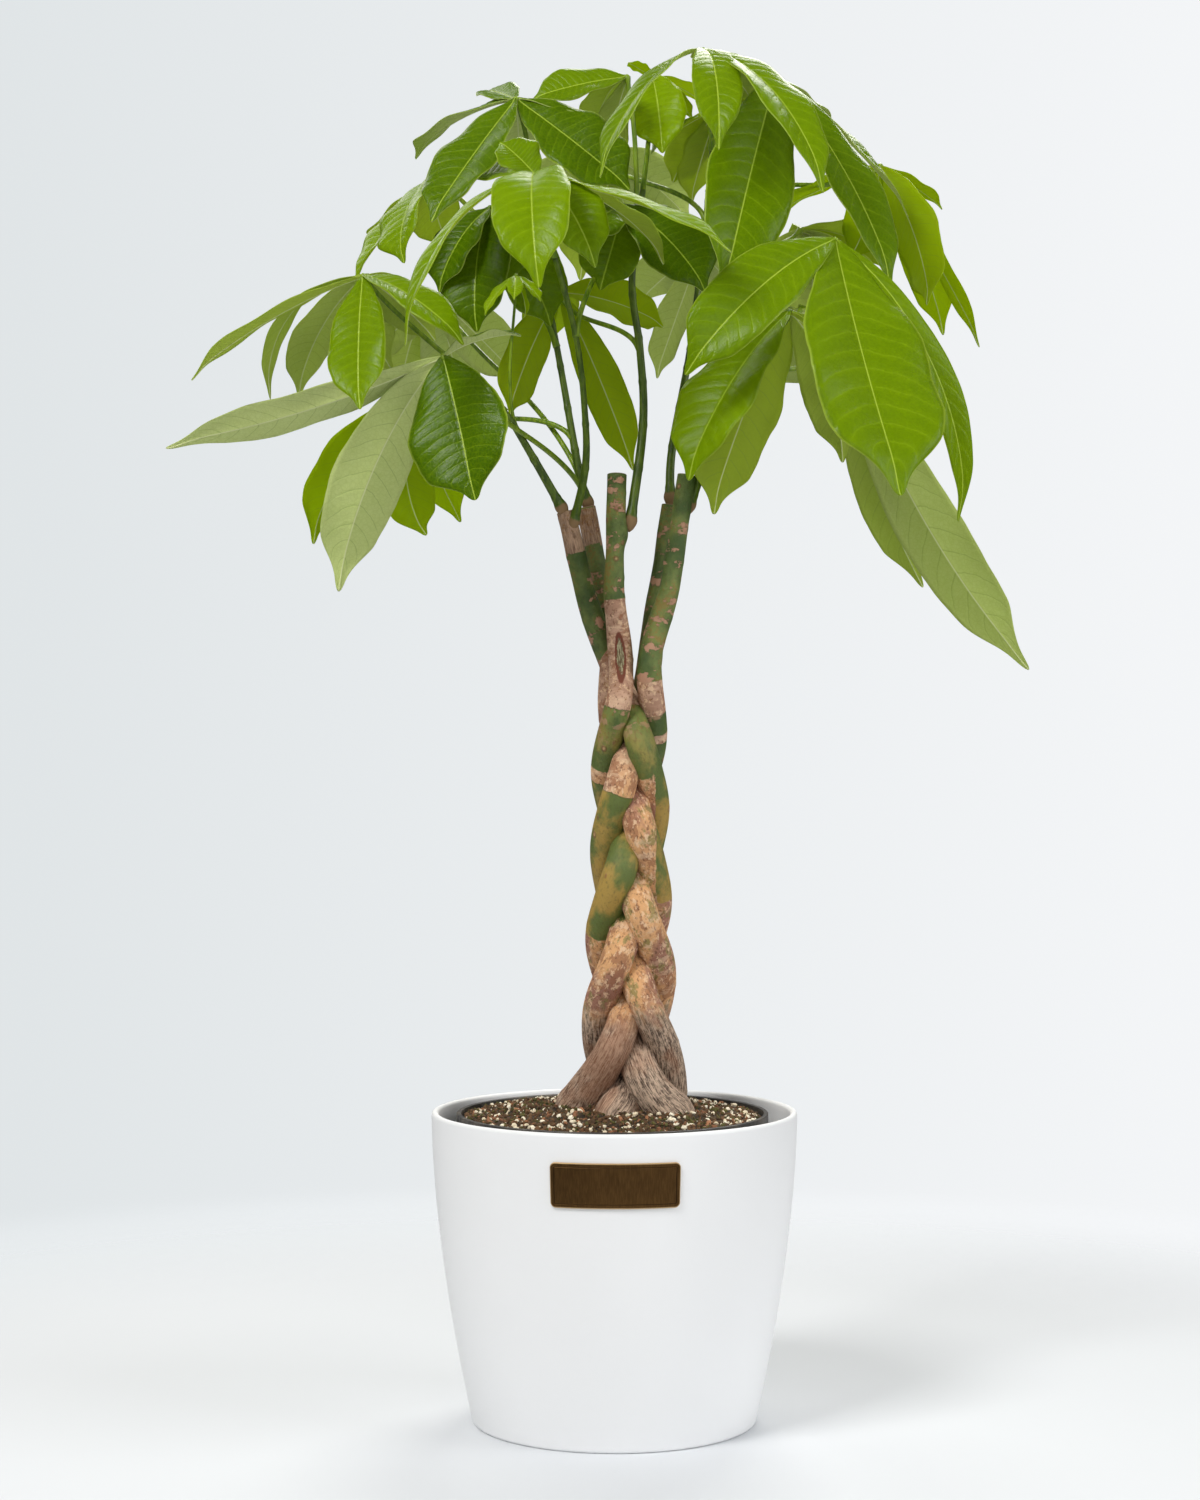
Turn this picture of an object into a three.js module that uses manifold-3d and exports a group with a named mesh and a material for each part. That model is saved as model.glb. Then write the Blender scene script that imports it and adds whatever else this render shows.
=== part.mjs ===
// A potted money tree: five young trunks braided together, each ending in a cut top with green shoots,
// and palmate leaves whose leaflets arch out of one point and droop. The tree grows in a thin nursery
// pot of soil, which stands inside a white planter with a small brass plate on its front.
// Millimetres, +Z up. The origin is the centre of the planter's underside, and the front faces -Y.

import * as THREE from "three";
import { mergeVertices } from "three/addons/utils/BufferGeometryUtils.js";
import Module from "manifold-3d";

const wasm = await Module();
wasm.setup();

// Driving dimensions

const GAP = 0.3; // clearance between two pieces that touch
const PLANTER = {
  height: 237,
  topRadius: 140,
  baseRadius: 108.4,
  bulge: 1.7, // power of the outline's curve from rim to base
  wall: 5.5,
  floor: 8,
  footRadius: 3,
  lipRound: 1.2, // how far the lip's flat top stands in from both faces
  cove: 4, // width of the slope between inner wall and floor
  outerShares: [0.012, 0.2, 0.42, 0.66, 0.88, 0.99], // shares of the height with a corner outside
  innerShares: [0.99, 0.5, 0.12], // and inside
  sides: 32,
};
const NURSERY = {
  centreX: -1.5,
  rimRadius: 119.5,
  baseRadius: 94,
  wall: 1.6,
  lip: 2.2,
  lipHeight: 9,
  rimZ: 235.5,
  sides: 24,
  drains: 4,
  drainRadius: 7,
  drainSides: 6,
  drainCircle: 62,
};
const SOIL = { edgeZ: 231.5, mound: 9, relief: 1.6, ringShares: [1, 0.4], sides: 24 };
const PLATE = { width: 95, height: 33, thickness: 1.6, centreZ: 200, corner: 4, columns: 8 };
const TRUNK = {
  rootZ: 195, // where the trunks end inside the soil
  soilZ: 238,
  jump: 32.3, // height gained while one strand crosses to the middle
  firstJumpZ: 290, // height of the lowest crossing that shows in front
  openZ: 520, // the braid loosens from here
  freeZ: 640, // and the trunks stand free above here
  axisX: 12,
  halfWidth: 20.5, // of the braid's middle lines near the soil
  narrowWidth: 16.5, // and where the braid is tightest
  narrowFrom: 330, // the braid narrows between these heights
  narrowTo: 450,
  halfDepth: 24,
  splay: 0.75, // how much wider the braid stands at the soil
  splayFade: 30,
  topRadius: 7.2,
  extraRadius: 5.2, // which a trunk has more in the braid than at its top
  thinFrom: 420,
  thinTo: 700,
  flare: 5, // of the root at the soil
  flareFade: 26,
  sides: 7,
  step: 21,
};
const BLADE = {
  thickness: 0.8,
  fold: 0.2, // rise of the margins over half the width
  arch: 0.16, // rise of the midrib over its length, where a leaflet gives none
  start: 1.2, // how far from the hub a blade begins
  startHalf: 1.2, // half width there
  tipHalf: 0.5, // and at the drip tip
};
const PETIOLE = { radius: 1.7, knob: 2.8, taper: 0.25, overHub: 2, sides: 4, steps: 4 };
const SHOOT = { taper: 0.4, sides: 6 };

// The tree was measured in a level front view, so its free forms are given as they are seen there:
// [across, down, depth], the first two in units of that view and depth in mm, negative towards the front.
const VIEW = { focal: 2780, centreX: 600, centreY: 750, distance: 2133, eyeX: -11, eyeZ: 513 };

function seen([across, down, depth]) {
  const scale = (VIEW.distance + depth) / VIEW.focal;
  return new THREE.Vector3(
    VIEW.eyeX + (across - VIEW.centreX) * scale,
    depth,
    VIEW.eyeZ - (down - VIEW.centreY) * scale,
  );
}

// Solids

function solidOf(geometry) {
  const bare = geometry.index ? geometry.toNonIndexed() : geometry.clone();
  bare.deleteAttribute("normal");
  bare.deleteAttribute("uv");
  const merged = mergeVertices(bare, 1e-4);
  return new wasm.Manifold(
    new wasm.Mesh({
      numProp: 3,
      vertProperties: merged.attributes.position.array,
      triVerts: new Uint32Array(merged.index.array),
    }),
  );
}

function geometryOf(solid) {
  const mesh = solid.getMesh();
  const points = new Float32Array(mesh.numVert * 3);
  for (let i = 0; i < mesh.numVert; i++)
    points.set(mesh.vertProperties.subarray(i * mesh.numProp, i * mesh.numProp + 3), i * 3);
  return new THREE.BufferGeometry()
    .setAttribute("position", new THREE.BufferAttribute(points, 3))
    .setIndex(new THREE.BufferAttribute(mesh.triVerts, 1));
}

// Keeps the largest body of a solid that a cut has left in several.
function mainBody(solid) {
  return solid.decompose().sort((a, b) => b.volume() - a.volume())[0];
}

// A closed tube through rings of points that all have the same number of corners.
function loft(rings) {
  const sides = rings[0].length;
  const points = rings.flat();
  const middle = (ring) =>
    ring.reduce((sum, p) => sum.add(p), new THREE.Vector3()).divideScalar(sides);
  const first = points.push(middle(rings[0])) - 1;
  const last = points.push(middle(rings[rings.length - 1])) - 1;
  const faces = [];
  for (let side = 0; side < sides; side++) {
    const next = (side + 1) % sides;
    for (let r = 0; r + 1 < rings.length; r++) {
      const a = r * sides + side;
      const b = r * sides + next;
      faces.push(a, b, b + sides, a, b + sides, a + sides);
    }
    const top = (rings.length - 1) * sides;
    faces.push(first, next, side, last, top + side, top + next);
  }
  return new THREE.BufferGeometry()
    .setAttribute(
      "position",
      new THREE.Float32BufferAttribute(points.flatMap((p) => [p.x, p.y, p.z]), 3),
    )
    .setIndex(faces);
}

// A round bar along a curve given as a function of 0..1, with a radius that may change.
function bar(pointAt, radiusAt, sides, steps) {
  const rings = [];
  for (let i = 0; i <= steps; i++) {
    const t = i / steps;
    const centre = pointAt(t);
    const along = pointAt(Math.min(1, t + 0.01)).sub(pointAt(Math.max(0, t - 0.01))).normalize();
    const u = new THREE.Vector3(0, 1, 0).cross(along).normalize();
    const v = along.clone().cross(u);
    const ring = [];
    for (let s = 0; s < sides; s++) {
      const angle = (2 * Math.PI * s) / sides;
      ring.push(
        centre
          .clone()
          .addScaledVector(u, Math.cos(angle) * radiusAt(t))
          .addScaledVector(v, Math.sin(angle) * radiusAt(t)),
      );
    }
    rings.push(ring);
  }
  return loft(rings);
}

const lerp = THREE.MathUtils.lerp;
const smooth = (low, high, x) => THREE.MathUtils.smoothstep(x, low, high);

// An outline of [radius, height] turned round the upright axis.
function lathe(outline, sides) {
  const points = outline.map(([radius, height]) => new THREE.Vector2(radius, height));
  return new THREE.LatheGeometry(points, sides).rotateX(Math.PI / 2);
}

// Planter, nursery pot and soil

function planterRadius(z) {
  const drop = (PLANTER.height - z) / PLANTER.height;
  return lerp(PLANTER.topRadius, PLANTER.baseRadius, drop ** PLANTER.bulge);
}

function planter() {
  const { height, wall, floor, footRadius, lipRound, cove } = PLANTER;
  const outline = [
    [0, 0],
    [planterRadius(0) - footRadius, 0],
    ...PLANTER.outerShares.map((share) => [planterRadius(height * share), height * share]),
    [planterRadius(height) - lipRound, height],
    [planterRadius(height) - wall + lipRound, height],
    ...PLANTER.innerShares.map((share) => [planterRadius(height * share) - wall, height * share]),
    [planterRadius(floor) - wall - cove, floor],
    [0, floor],
  ];
  return lathe(outline, PLANTER.sides);
}

const nurseryFloor = PLANTER.floor + GAP;

// Outer radius of the nursery pot below its lip.
function nurseryRadius(z) {
  return lerp(
    NURSERY.baseRadius,
    NURSERY.rimRadius - NURSERY.lip,
    (z - nurseryFloor) / (NURSERY.rimZ - nurseryFloor),
  );
}

function nurseryPot() {
  const { wall, rimRadius, rimZ, lipHeight, drainRadius, drainCircle } = NURSERY;
  const floor = nurseryFloor;
  const outline = [
    [0, floor],
    [nurseryRadius(floor), floor],
    [nurseryRadius(rimZ - lipHeight), rimZ - lipHeight],
    [rimRadius, rimZ - lipHeight],
    [rimRadius, rimZ],
    [nurseryRadius(rimZ) - wall, rimZ],
    [nurseryRadius(floor + wall) - wall, floor + wall],
    [0, floor + wall],
  ];
  let solid = solidOf(lathe(outline, NURSERY.sides).translate(NURSERY.centreX, 0, 0));
  for (let i = 0; i < NURSERY.drains; i++) {
    const angle = (2 * Math.PI * i) / NURSERY.drains;
    const depth = 8 * wall;
    const hole = new THREE.CylinderGeometry(drainRadius, drainRadius, depth, NURSERY.drainSides)
      .rotateX(Math.PI / 2)
      .translate(
        NURSERY.centreX + drainCircle * Math.cos(angle),
        drainCircle * Math.sin(angle),
        floor,
      );
    solid = solid.subtract(solidOf(hole));
  }
  return solid;
}

// Height of the soil: a low mound towards the trunks with a rough, crumbly surface.
function soilHeight(x, y, share) {
  const long = Math.sin(x * 0.21 + 1.3) * Math.cos(y * 0.17);
  const short = Math.sin(x * 0.11 - y * 0.23) * Math.cos(x * 0.3 + y * 0.1);
  const crumb = long + short;
  return SOIL.edgeZ + SOIL.mound * (1 - share * share) + SOIL.relief * crumb * (1 - share ** 6);
}

function soil(holes) {
  const bottom = nurseryFloor + NURSERY.wall + GAP;
  const ring = (radius, heightAt) => {
    const points = [];
    for (let s = 0; s < SOIL.sides; s++) {
      const angle = (2 * Math.PI * s) / SOIL.sides;
      const x = NURSERY.centreX + radius * Math.cos(angle);
      const y = radius * Math.sin(angle);
      points.push(new THREE.Vector3(x, y, heightAt(x, y)));
    }
    return points;
  };
  const reach = (z) => nurseryRadius(z) - NURSERY.wall - 2 * GAP;
  const rings = [ring(reach(bottom), () => bottom)];
  for (const share of SOIL.ringShares)
    rings.push(ring(reach(SOIL.edgeZ) * share, (x, y) => soilHeight(x, y, share)));
  return mainBody(solidOf(loft(rings)).subtract(holes));
}

// A thin curved plate with rounded corners that follows the planter's front.
function brassPlate() {
  const { width, height, thickness, centreZ, corner, columns } = PLATE;
  const half = width / 2;
  const inner = half - corner;
  const round = [half, half - 0.12 * corner, half - 0.4 * corner];
  const across = round.map((x) => -x);
  for (let i = 0; i <= columns; i++) across.push(-inner + (2 * inner * i) / columns);
  across.push(...round.reverse());
  const on = (x, z, lift) => {
    const radius = planterRadius(z) + GAP + lift;
    const angle = x / planterRadius(centreZ);
    return new THREE.Vector3(radius * Math.sin(angle), -radius * Math.cos(angle), z);
  };
  const rings = across.map((x) => {
    const past = Math.max(0, Math.abs(x) - inner) / corner;
    const reach = height / 2 - corner * (1 - Math.sqrt(Math.max(0, 1 - past * past)));
    return [
      on(x, centreZ - reach, 0),
      on(x, centreZ + reach, 0),
      on(x, centreZ + reach, thickness),
      on(x, centreZ - reach, thickness),
    ];
  });
  return solidOf(loft(rings));
}

// Braided trunks

// Where each trunk is cut off at the top, and how many crossings ahead of the first one it is.
const TRUNKS = [
  { name: "trunk_centre", top: [617, 475, -10], throat: [612, 655, -24], ahead: 4 },
  { name: "trunk_left", top: [566, 512, -6], throat: [601, 660, 2], ahead: 3 },
  { name: "trunk_back_left", top: [586, 508, 20], throat: [612, 640, 22], ahead: 1 },
  { name: "trunk_right", top: [687, 476, -8], throat: [657, 670, -14], ahead: 0 },
  { name: "trunk_back_right", top: [671, 506, 22], throat: [645, 680, 18], ahead: 2 },
];

function trunkRadius(z) {
  const { topRadius, extraRadius, thinFrom, thinTo, soilZ } = TRUNK;
  const flare = TRUNK.flare * Math.exp(-Math.max(0, z - soilZ) / TRUNK.flareFade);
  return topRadius + extraRadius * (1 - smooth(thinFrom, thinTo, z)) + flare;
}

// A strand runs a figure of eight in plan: in front while it moves to the middle, behind on the way out.
// The small third and fourth harmonics keep it longer at the sides, as a tight plait does.
function braidPoint(ahead, z) {
  const { jump, firstJumpZ, soilZ, axisX, halfWidth, halfDepth } = TRUNK;
  const held = Math.max(z, soilZ - 4);
  const turn = (held - firstJumpZ) / (10 * jump) - ahead / 10;
  const phase = 2 * Math.PI * (turn + (ahead % 2 ? 1 : 0.5));
  const width = lerp(halfWidth, TRUNK.narrowWidth, smooth(TRUNK.narrowFrom, TRUNK.narrowTo, held));
  const splay = 1 + TRUNK.splay * Math.exp(-Math.max(0, held - soilZ) / TRUNK.splayFade);
  return new THREE.Vector3(
    axisX + width * splay * (Math.sin(phase) - 0.1 * Math.sin(3 * phase)),
    halfDepth * splay ** 0.5 * (Math.sin(2 * phase) + 0.18 * Math.sin(4 * phase)),
    z,
  );
}

function trunkPoint(trunk, z) {
  const top = seen(trunk.top);
  const throat = seen(trunk.throat);
  const free = throat.clone().lerp(top, (z - throat.z) / (top.z - throat.z));
  const loose = smooth(TRUNK.openZ, TRUNK.freeZ, z);
  const point = braidPoint(trunk.ahead, z).lerp(free, loose);
  return point.setZ(z);
}

function trunkBar(trunk, extra) {
  const low = TRUNK.rootZ;
  const high = seen(trunk.top).z;
  const steps = Math.round((high - low) / TRUNK.step);
  return solidOf(
    bar(
      (t) => trunkPoint(trunk, lerp(low, high, t)),
      (t) => trunkRadius(lerp(low, high, t)) + extra,
      TRUNK.sides,
      steps,
    ),
  );
}

// Shoots and leaves

// Each shoot's middle line, from the trunk that carries it to its tip.
const SHOOTS = {
  shoot_left: {
    radius: 3.5,
    path: [[567, 517, -8], [538, 466, -20], [512, 422, -30], [505, 412, -32]],
  },
  shoot_front: {
    radius: 3.2,
    path: [[571, 533, -8], [585, 470, -20], [585, 415, -32], [576, 337, -48], [553, 250, -66]],
  },
  shoot_back_left: {
    radius: 3.6,
    path: [[591, 513, 20], [579, 471, 22], [560, 364, 34], [540, 260, 48]],
  },
  shoot_centre: {
    radius: 3.7,
    path: [[629, 532, -12], [643, 425, 2], [640, 350, 6], [632, 280, 10], [643, 190, 20]],
  },
  shoot_back_right: {
    radius: 3.5,
    path: [[670, 508, 24], [672, 450, 36], [690, 350, 60], [704, 240, 70], [712, 150, 60]],
  },
  shoot_right: {
    radius: 3.2,
    path: [[686, 516, -6], [714, 440, -10], [738, 375, -20], [760, 305, -30]],
  },
};

function shootCurve(shoot) {
  return new THREE.CatmullRomCurve3(shoot.path.map(seen), false, "catmullrom", 0.5);
}

function shootBar(shoot, extra) {
  const curve = shootCurve(shoot);
  return solidOf(
    bar(
      (t) => curve.getPoint(t),
      (t) => shoot.radius * (1 - SHOOT.taper * t) + extra,
      SHOOT.sides,
      2 * (shoot.path.length - 1) + 1,
    ),
  );
}

// A leaf: the shoot and the share of its length where the stalk starts, the point where its leaflets
// meet, the way the leaf faces, and its leaflets. A leaflet has its tip, its width in mm, then how high
// its midrib arches and how far the blade rolls about it.
const LEAVES = {
  leaf_crown_left: {
    on: ["shoot_back_left", 0.97],
    hub: [516, 99, -30],
    faces: [-0.35, -0.25, 0.9],
    leaflets: [
      [486, 90, 40, 30, 0.02], [414, 156, 60, 38, 0.08], [430, 219, -90, 54, 0.02, -20],
      [630, 188, -50, 58, 0.02, 20], [628, 160, 10, 44, 0.05], [520, 180, 100, 48, 0.05],
    ],
  },
  leaf_front: {
    on: ["shoot_front", 0.98],
    hub: [537, 177, -110],
    faces: [-0.1, -0.6, 0.8],
    leaflets: [
      [538, 287, -215, 56, 0.28], [400, 345, -165, 32, 0.26, 30], [462, 182, -20, 44, 0.05],
      [500, 142, -105, 40, 0.05], [733, 247, -190, 34, 0.06, -30], [666, 262, -70, 44, 0.15, -30],
      [596, 266, -170, 44],
    ],
  },
  leaf_left: {
    on: ["shoot_left", 1],
    hub: [363, 276, -70],
    faces: [-0.6, -0.2, 0.8],
    leaflets: [
      [359, 407, -135, 44, 0.03, -25], [189, 377, -60, 28, 0.06, 15], [268, 397, 60, 18, 0.2, 20],
      [298, 394, 20, 36, 0.08, 40], [465, 343, -125, 34, 0.16, -25], [436, 340, -20, 40],
      [392, 372, 40, 42, 0.2],
    ],
  },
  leaf_left_low: {
    on: ["shoot_back_left", 0.2],
    hub: [443, 356, -95],
    faces: [-0.4, 0, 0.9],
    leaflets: [
      [168, 443, 10, 34, -0.03, 50], [338, 589, 10, 54, 0.08, 50], [474, 499, -135, 76, 0.02, -10],
      [521, 334, -105, 44, 0.1],
    ],
  },
  leaf_top: {
    on: ["shoot_back_right", 1],
    hub: [703, 50, -20],
    faces: [0.05, -0.2, 1],
    leaflets: [
      [719, 148, -110, 36, 0.2], [826, 190, -130, 40, 0.16], [596, 175, -120, 30, 0.16, 20],
      [735, 104, 110, 46, 0.08], [764, 124, 120, 46, 0.08],
    ],
  },
  leaf_upper_right: {
    on: ["shoot_back_right", 0.88],
    hub: [776, 76, -10],
    faces: [0.4, -0.3, 0.85],
    leaflets: [
      [894, 285, -80, 46, 0.05, 15], [912, 214, 40, 36, 0.04], [725, 283, -110, 68, 0.02],
      [822, 128, 120, 42, 0.02],
    ],
  },
  leaf_right_front: {
    on: ["shoot_right", 0.97],
    hub: [835, 240, -100],
    faces: [0.35, -0.6, 0.75],
    leaflets: [
      [903, 492, -200, 98, 0.01], [684, 374, -150, 56, 0.16], [962, 524, -60, 27, 0.2, 20],
      [856, 320, 0, 44, 0.05],
    ],
  },
  leaf_right_low: {
    on: ["shoot_right", 0.75],
    hub: [790, 312, -70],
    faces: [0.2, 0, 1],
    leaflets: [
      [842, 462, 0, 44, 0.15, -50], [868, 425, -90, 44, 0.12], [711, 514, -15, 66, 0.12],
      [686, 479, -120, 66, 0.12],
    ],
  },
  leaf_right_long: {
    on: ["shoot_right", 0.6],
    hub: [848, 348, 30],
    faces: [0.5, 0.3, 0.85],
    leaflets: [
      [1029, 667, 50, 50, -0.07, -55], [922, 585, 100, 40, -0.05, -50], [765, 385, 120, 46, 0.15],
    ],
  },
  leaf_right_back: {
    rows: "plain",
    on: ["shoot_back_right", 0.85],
    hub: [880, 166, 90],
    faces: [0.6, 0.2, 0.8],
    leaflets: [
      [943, 208, 110, 24, 0.05], [982, 346, 100, 18, 0.02, -20], [930, 306, 30, 44, 0.06, -50],
      [944, 334, 150, 36, 0.06, -40], [756, 224, 70, 34, 0.05], [850, 260, 180, 44, 0.1],
    ],
  },
  leaf_young: {
    rows: "few",
    stalk: 1,
    on: ["shoot_left", 0.6],
    hub: [516, 276, -50],
    faces: [0, -0.3, 1],
    leaflets: [
      [484, 315, -60, 13, 0.1], [514, 299, -80, 12, 0.1], [526, 317, -40, 12, 0.1],
      [541, 301, -60, 12, 0.1],
    ],
  },
  leaf_top_back: {
    rows: "plain",
    on: ["shoot_centre", 0.97],
    hub: [652, 76, 70],
    faces: [0, 0.3, 1],
    leaflets: [
      [662, 152, 30, 44, 0.1, 40], [693, 118, 100, 18, 0.05], [628, 62, 50, 14, 0.02],
      [700, 100, 150, 20, 0.02],
    ],
  },
  leaf_top_middle: {
    rows: "plain",
    on: ["shoot_centre", 0.86],
    hub: [627, 77, 10],
    faces: [-0.2, -0.1, 1],
    leaflets: [
      [533, 98, 0, 36, 0.05, -40], [594, 140, 70, 34, 0.2], [606, 186, 60, 34, 0.05],
    ],
  },
  leaf_top_inner: {
    rows: "plain",
    on: ["shoot_back_right", 0.95],
    hub: [718, 108, 90],
    faces: [-0.1, 0, 1],
    leaflets: [
      [650, 152, 60, 28, 0.05], [672, 182, 110, 36, 0.05, 40], [690, 202, 120, 40, 0.05],
      [757, 150, 90, 46, 0.15, -40],
    ],
  },
  leaf_left_high: {
    rows: "plain",
    on: ["shoot_back_left", 0.9],
    hub: [440, 176, 50],
    faces: [-0.6, -0.2, 0.8],
    leaflets: [
      [353, 280, 40, 50, 0.05, -10], [374, 240, 140, 46, 0.05], [402, 262, -20, 52], [450, 250, 180, 48],
    ],
  },
  leaf_left_inner: {
    rows: "plain",
    on: ["shoot_back_left", 0.72],
    hub: [490, 208, 20],
    faces: [-0.2, -0.5, 0.8],
    leaflets: [
      [438, 292, -5, 44, 0.15], [476, 332, -10, 58, 0.15], [552, 326, 20, 54, 0.15],
    ],
  },
  leaf_left_back: {
    rows: "plain",
    on: ["shoot_back_left", 0.45],
    hub: [418, 398, 110],
    faces: [-0.5, 0.4, 0.8],
    leaflets: [
      [311, 544, 120, 44, 0.15, 30], [426, 537, 100, 46, 0.2, 40], [462, 522, 160, 38, 0.2, 30],
      [369, 448, 60, 30],
    ],
  },
  leaf_inner: {
    rows: "plain",
    on: ["shoot_centre", 0.5],
    hub: [560, 292, 80],
    faces: [-0.2, 0.2, 1],
    leaflets: [
      [634, 470, 90, 34, 0.01, -30], [508, 416, 40, 40, 0.05, 60], [665, 326, 50, 42, 0.1, -30],
      [545, 345, 190, 46, 0.1],
    ],
  },
  leaf_inner_right: {
    rows: "plain",
    on: ["shoot_front", 0.75],
    hub: [624, 206, -20],
    faces: [0.1, -0.7, 0.7],
    leaflets: [
      [706, 290, -45, 62, 0.1], [600, 290, -30, 46, 0.15], [575, 240, -60, 46, 0.1],
    ],
  },
  leaf_back_top: {
    rows: "few",
    on: ["shoot_back_right", 0.8],
    hub: [600, 150, 150],
    faces: [-0.1, 0.5, 0.9],
    leaflets: [
      [520, 230, 190, 48], [580, 280, 240, 50], [640, 250, 270, 50], [690, 220, 200, 48],
    ],
  },
  leaf_back_left: {
    rows: "few",
    on: ["shoot_back_left", 0.3],
    hub: [440, 300, 180],
    faces: [-0.4, 0.6, 0.8],
    leaflets: [
      [370, 360, 200, 46], [400, 400, 280, 50, 0.2], [470, 420, 290, 50, 0.2], [520, 380, 240, 48],
    ],
  },
  leaf_back_middle: {
    rows: "few",
    on: ["shoot_back_right", 0.5],
    hub: [700, 250, 190],
    faces: [0, 0.7, 0.8],
    leaflets: [
      [655, 378, 210, 38, 0.05, -30], [640, 300, 300, 50, 0.05], [720, 360, 310, 52, 0.1],
      [760, 330, 250, 50, 0.05], [690, 310, 340, 46, 0.05],
    ],
  },
  leaf_back_right: {
    rows: "few",
    on: ["shoot_back_right", 0.7],
    hub: [800, 230, 170],
    faces: [0.5, 0.5, 0.8],
    leaflets: [
      [740, 330, 210, 48], [800, 350, 280, 52, 0.2], [870, 350, 260, 52, 0.2], [890, 270, 220, 48],
      [810, 300, 310, 46],
    ],
  },
  leaf_back_low: {
    rows: "few",
    on: ["shoot_back_right", 0.35],
    hub: [800, 310, 150],
    faces: [0.4, 0.6, 0.8],
    leaflets: [
      [730, 385, 200, 48, 0.15], [785, 380, 250, 50, 0.15], [870, 410, 230, 48, 0.15],
      [850, 380, 290, 46],
    ],
  },
};

// Share of the full half width along a leaflet: widest past the middle, with a round end that is drawn
// out to a narrow drip tip.
function bladeShare(t) {
  return Math.sin(Math.PI * t ** 1.28) ** 0.66 * (1 - 0.6 * smooth(0.8, 0.96, t)) + 0.025;
}

// The midrib leaves the hub outwards and droops to the tip.
function midrib(hub, tip, facing, arch) {
  const chord = tip.clone().sub(hub);
  const along = chord.clone().normalize();
  const up = facing.clone().addScaledVector(along, -facing.dot(along)).normalize();
  const rise = arch * chord.length();
  const at = (share, lift) => hub.clone().addScaledVector(chord, share).addScaledVector(up, lift);
  return { up, curve: new THREE.CubicBezierCurve3(hub.clone(), at(0.28, rise), at(0.7, rise), tip) };
}

// Shares of a leaflet's length that have a row of vertices, for the leaves in front, among the others
// and at the back.
const ROWS = {
  fine: [0, 0.12, 0.33, 0.62, 0.88, 1],
  plain: [0, 0.2, 0.55, 0.86, 1],
  few: [0, 0.25, 0.75, 1],
};

function leaflet(hub, facing, rows, [across, down, depth, width, arch = BLADE.arch, roll = 0]) {
  const { up, curve } = midrib(hub, seen([across, down, depth]), facing, arch);
  const rings = ROWS[rows].map((t) => {
    const centre = curve.getPoint(t || BLADE.start / curve.getLength());
    const along = curve.getTangent(t);
    const side = up.clone().cross(along).normalize().applyAxisAngle(along, THREE.MathUtils.degToRad(roll));
    const normal = along.clone().cross(side);
    const half = t === 0 ? BLADE.startHalf : t === 1 ? BLADE.tipHalf : (width / 2) * bladeShare(t);
    const rise = t > 0 && t < 1 ? half * BLADE.fold : 0;
    const thick = BLADE.thickness * (t === 0 ? 2 : 1);
    const corner = (out, lift) => centre.clone().addScaledVector(side, out).addScaledVector(normal, lift);
    return [
      corner(-half, rise),
      corner(-half, rise + thick),
      corner(0, thick),
      corner(half, rise + thick),
      corner(half, rise),
      corner(0, 0),
    ];
  });
  return solidOf(bladeGeometry(rings));
}

// A blade through six-cornered rings, which run from its right edge over the top face to the left edge
// and back along the underside. Both faces are split into the same triangles.
function bladeGeometry(rings) {
  const faces = [];
  for (let r = 0; r + 1 < rings.length; r++) {
    const a = r * 6;
    const b = a + 6;
    faces.push(a + 1, b + 1, b + 2, a + 1, b + 2, a + 2, a + 2, b + 2, a + 3, a + 3, b + 2, b + 3);
    faces.push(a, b + 5, b, a, a + 5, b + 5, a + 5, a + 4, b + 5, a + 4, b + 4, b + 5);
    faces.push(a, b, b + 1, a, b + 1, a + 1, a + 3, b + 3, b + 4, a + 3, b + 4, a + 4);
  }
  const cap = [0, 1, 2, 0, 2, 5, 5, 2, 3, 5, 3, 4];
  const end = (rings.length - 1) * 6;
  faces.push(...cap, ...cap.map((corner) => end + corner).reverse());
  return new THREE.BufferGeometry()
    .setAttribute(
      "position",
      new THREE.Float32BufferAttribute(rings.flat().flatMap((p) => [p.x, p.y, p.z]), 3),
    )
    .setIndex(faces);
}

// The stalk bends up out of its shoot and meets the hub from below.
function stalkCurve(leaf) {
  const [shoot, share] = leaf.on;
  const curve = shootCurve(SHOOTS[shoot]);
  const root = curve.getPoint(share);
  const hub = seen(leaf.hub);
  const facing = new THREE.Vector3(...leaf.faces).normalize();
  const towards = hub.clone().sub(root);
  const reach = towards.length();
  towards.normalize();
  return new THREE.CubicBezierCurve3(
    root,
    root.clone().addScaledVector(curve.getTangent(share).lerp(towards, 0.5), reach * 0.35),
    hub.clone().addScaledVector(facing, -reach * 0.3),
    hub.clone().addScaledVector(facing, PETIOLE.overHub),
  );
}

function leafSolid(leaf) {
  const hub = seen(leaf.hub);
  const facing = new THREE.Vector3(...leaf.faces).normalize();
  const curve = stalkCurve(leaf);
  const radius = leaf.stalk ?? PETIOLE.radius;
  const stalk = solidOf(
    bar(
      (t) => curve.getPoint(t),
      (t) => (t === 1 ? Math.min(PETIOLE.knob, 2 * radius) : radius * (1 + PETIOLE.taper * (1 - t))),
      PETIOLE.sides,
      PETIOLE.steps,
    ),
  );
  const blades = leaf.leaflets.map((values) => leaflet(hub, facing, leaf.rows ?? "fine", values));
  return wasm.Manifold.union([stalk, ...blades]);
}

// Colours and assembly

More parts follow.
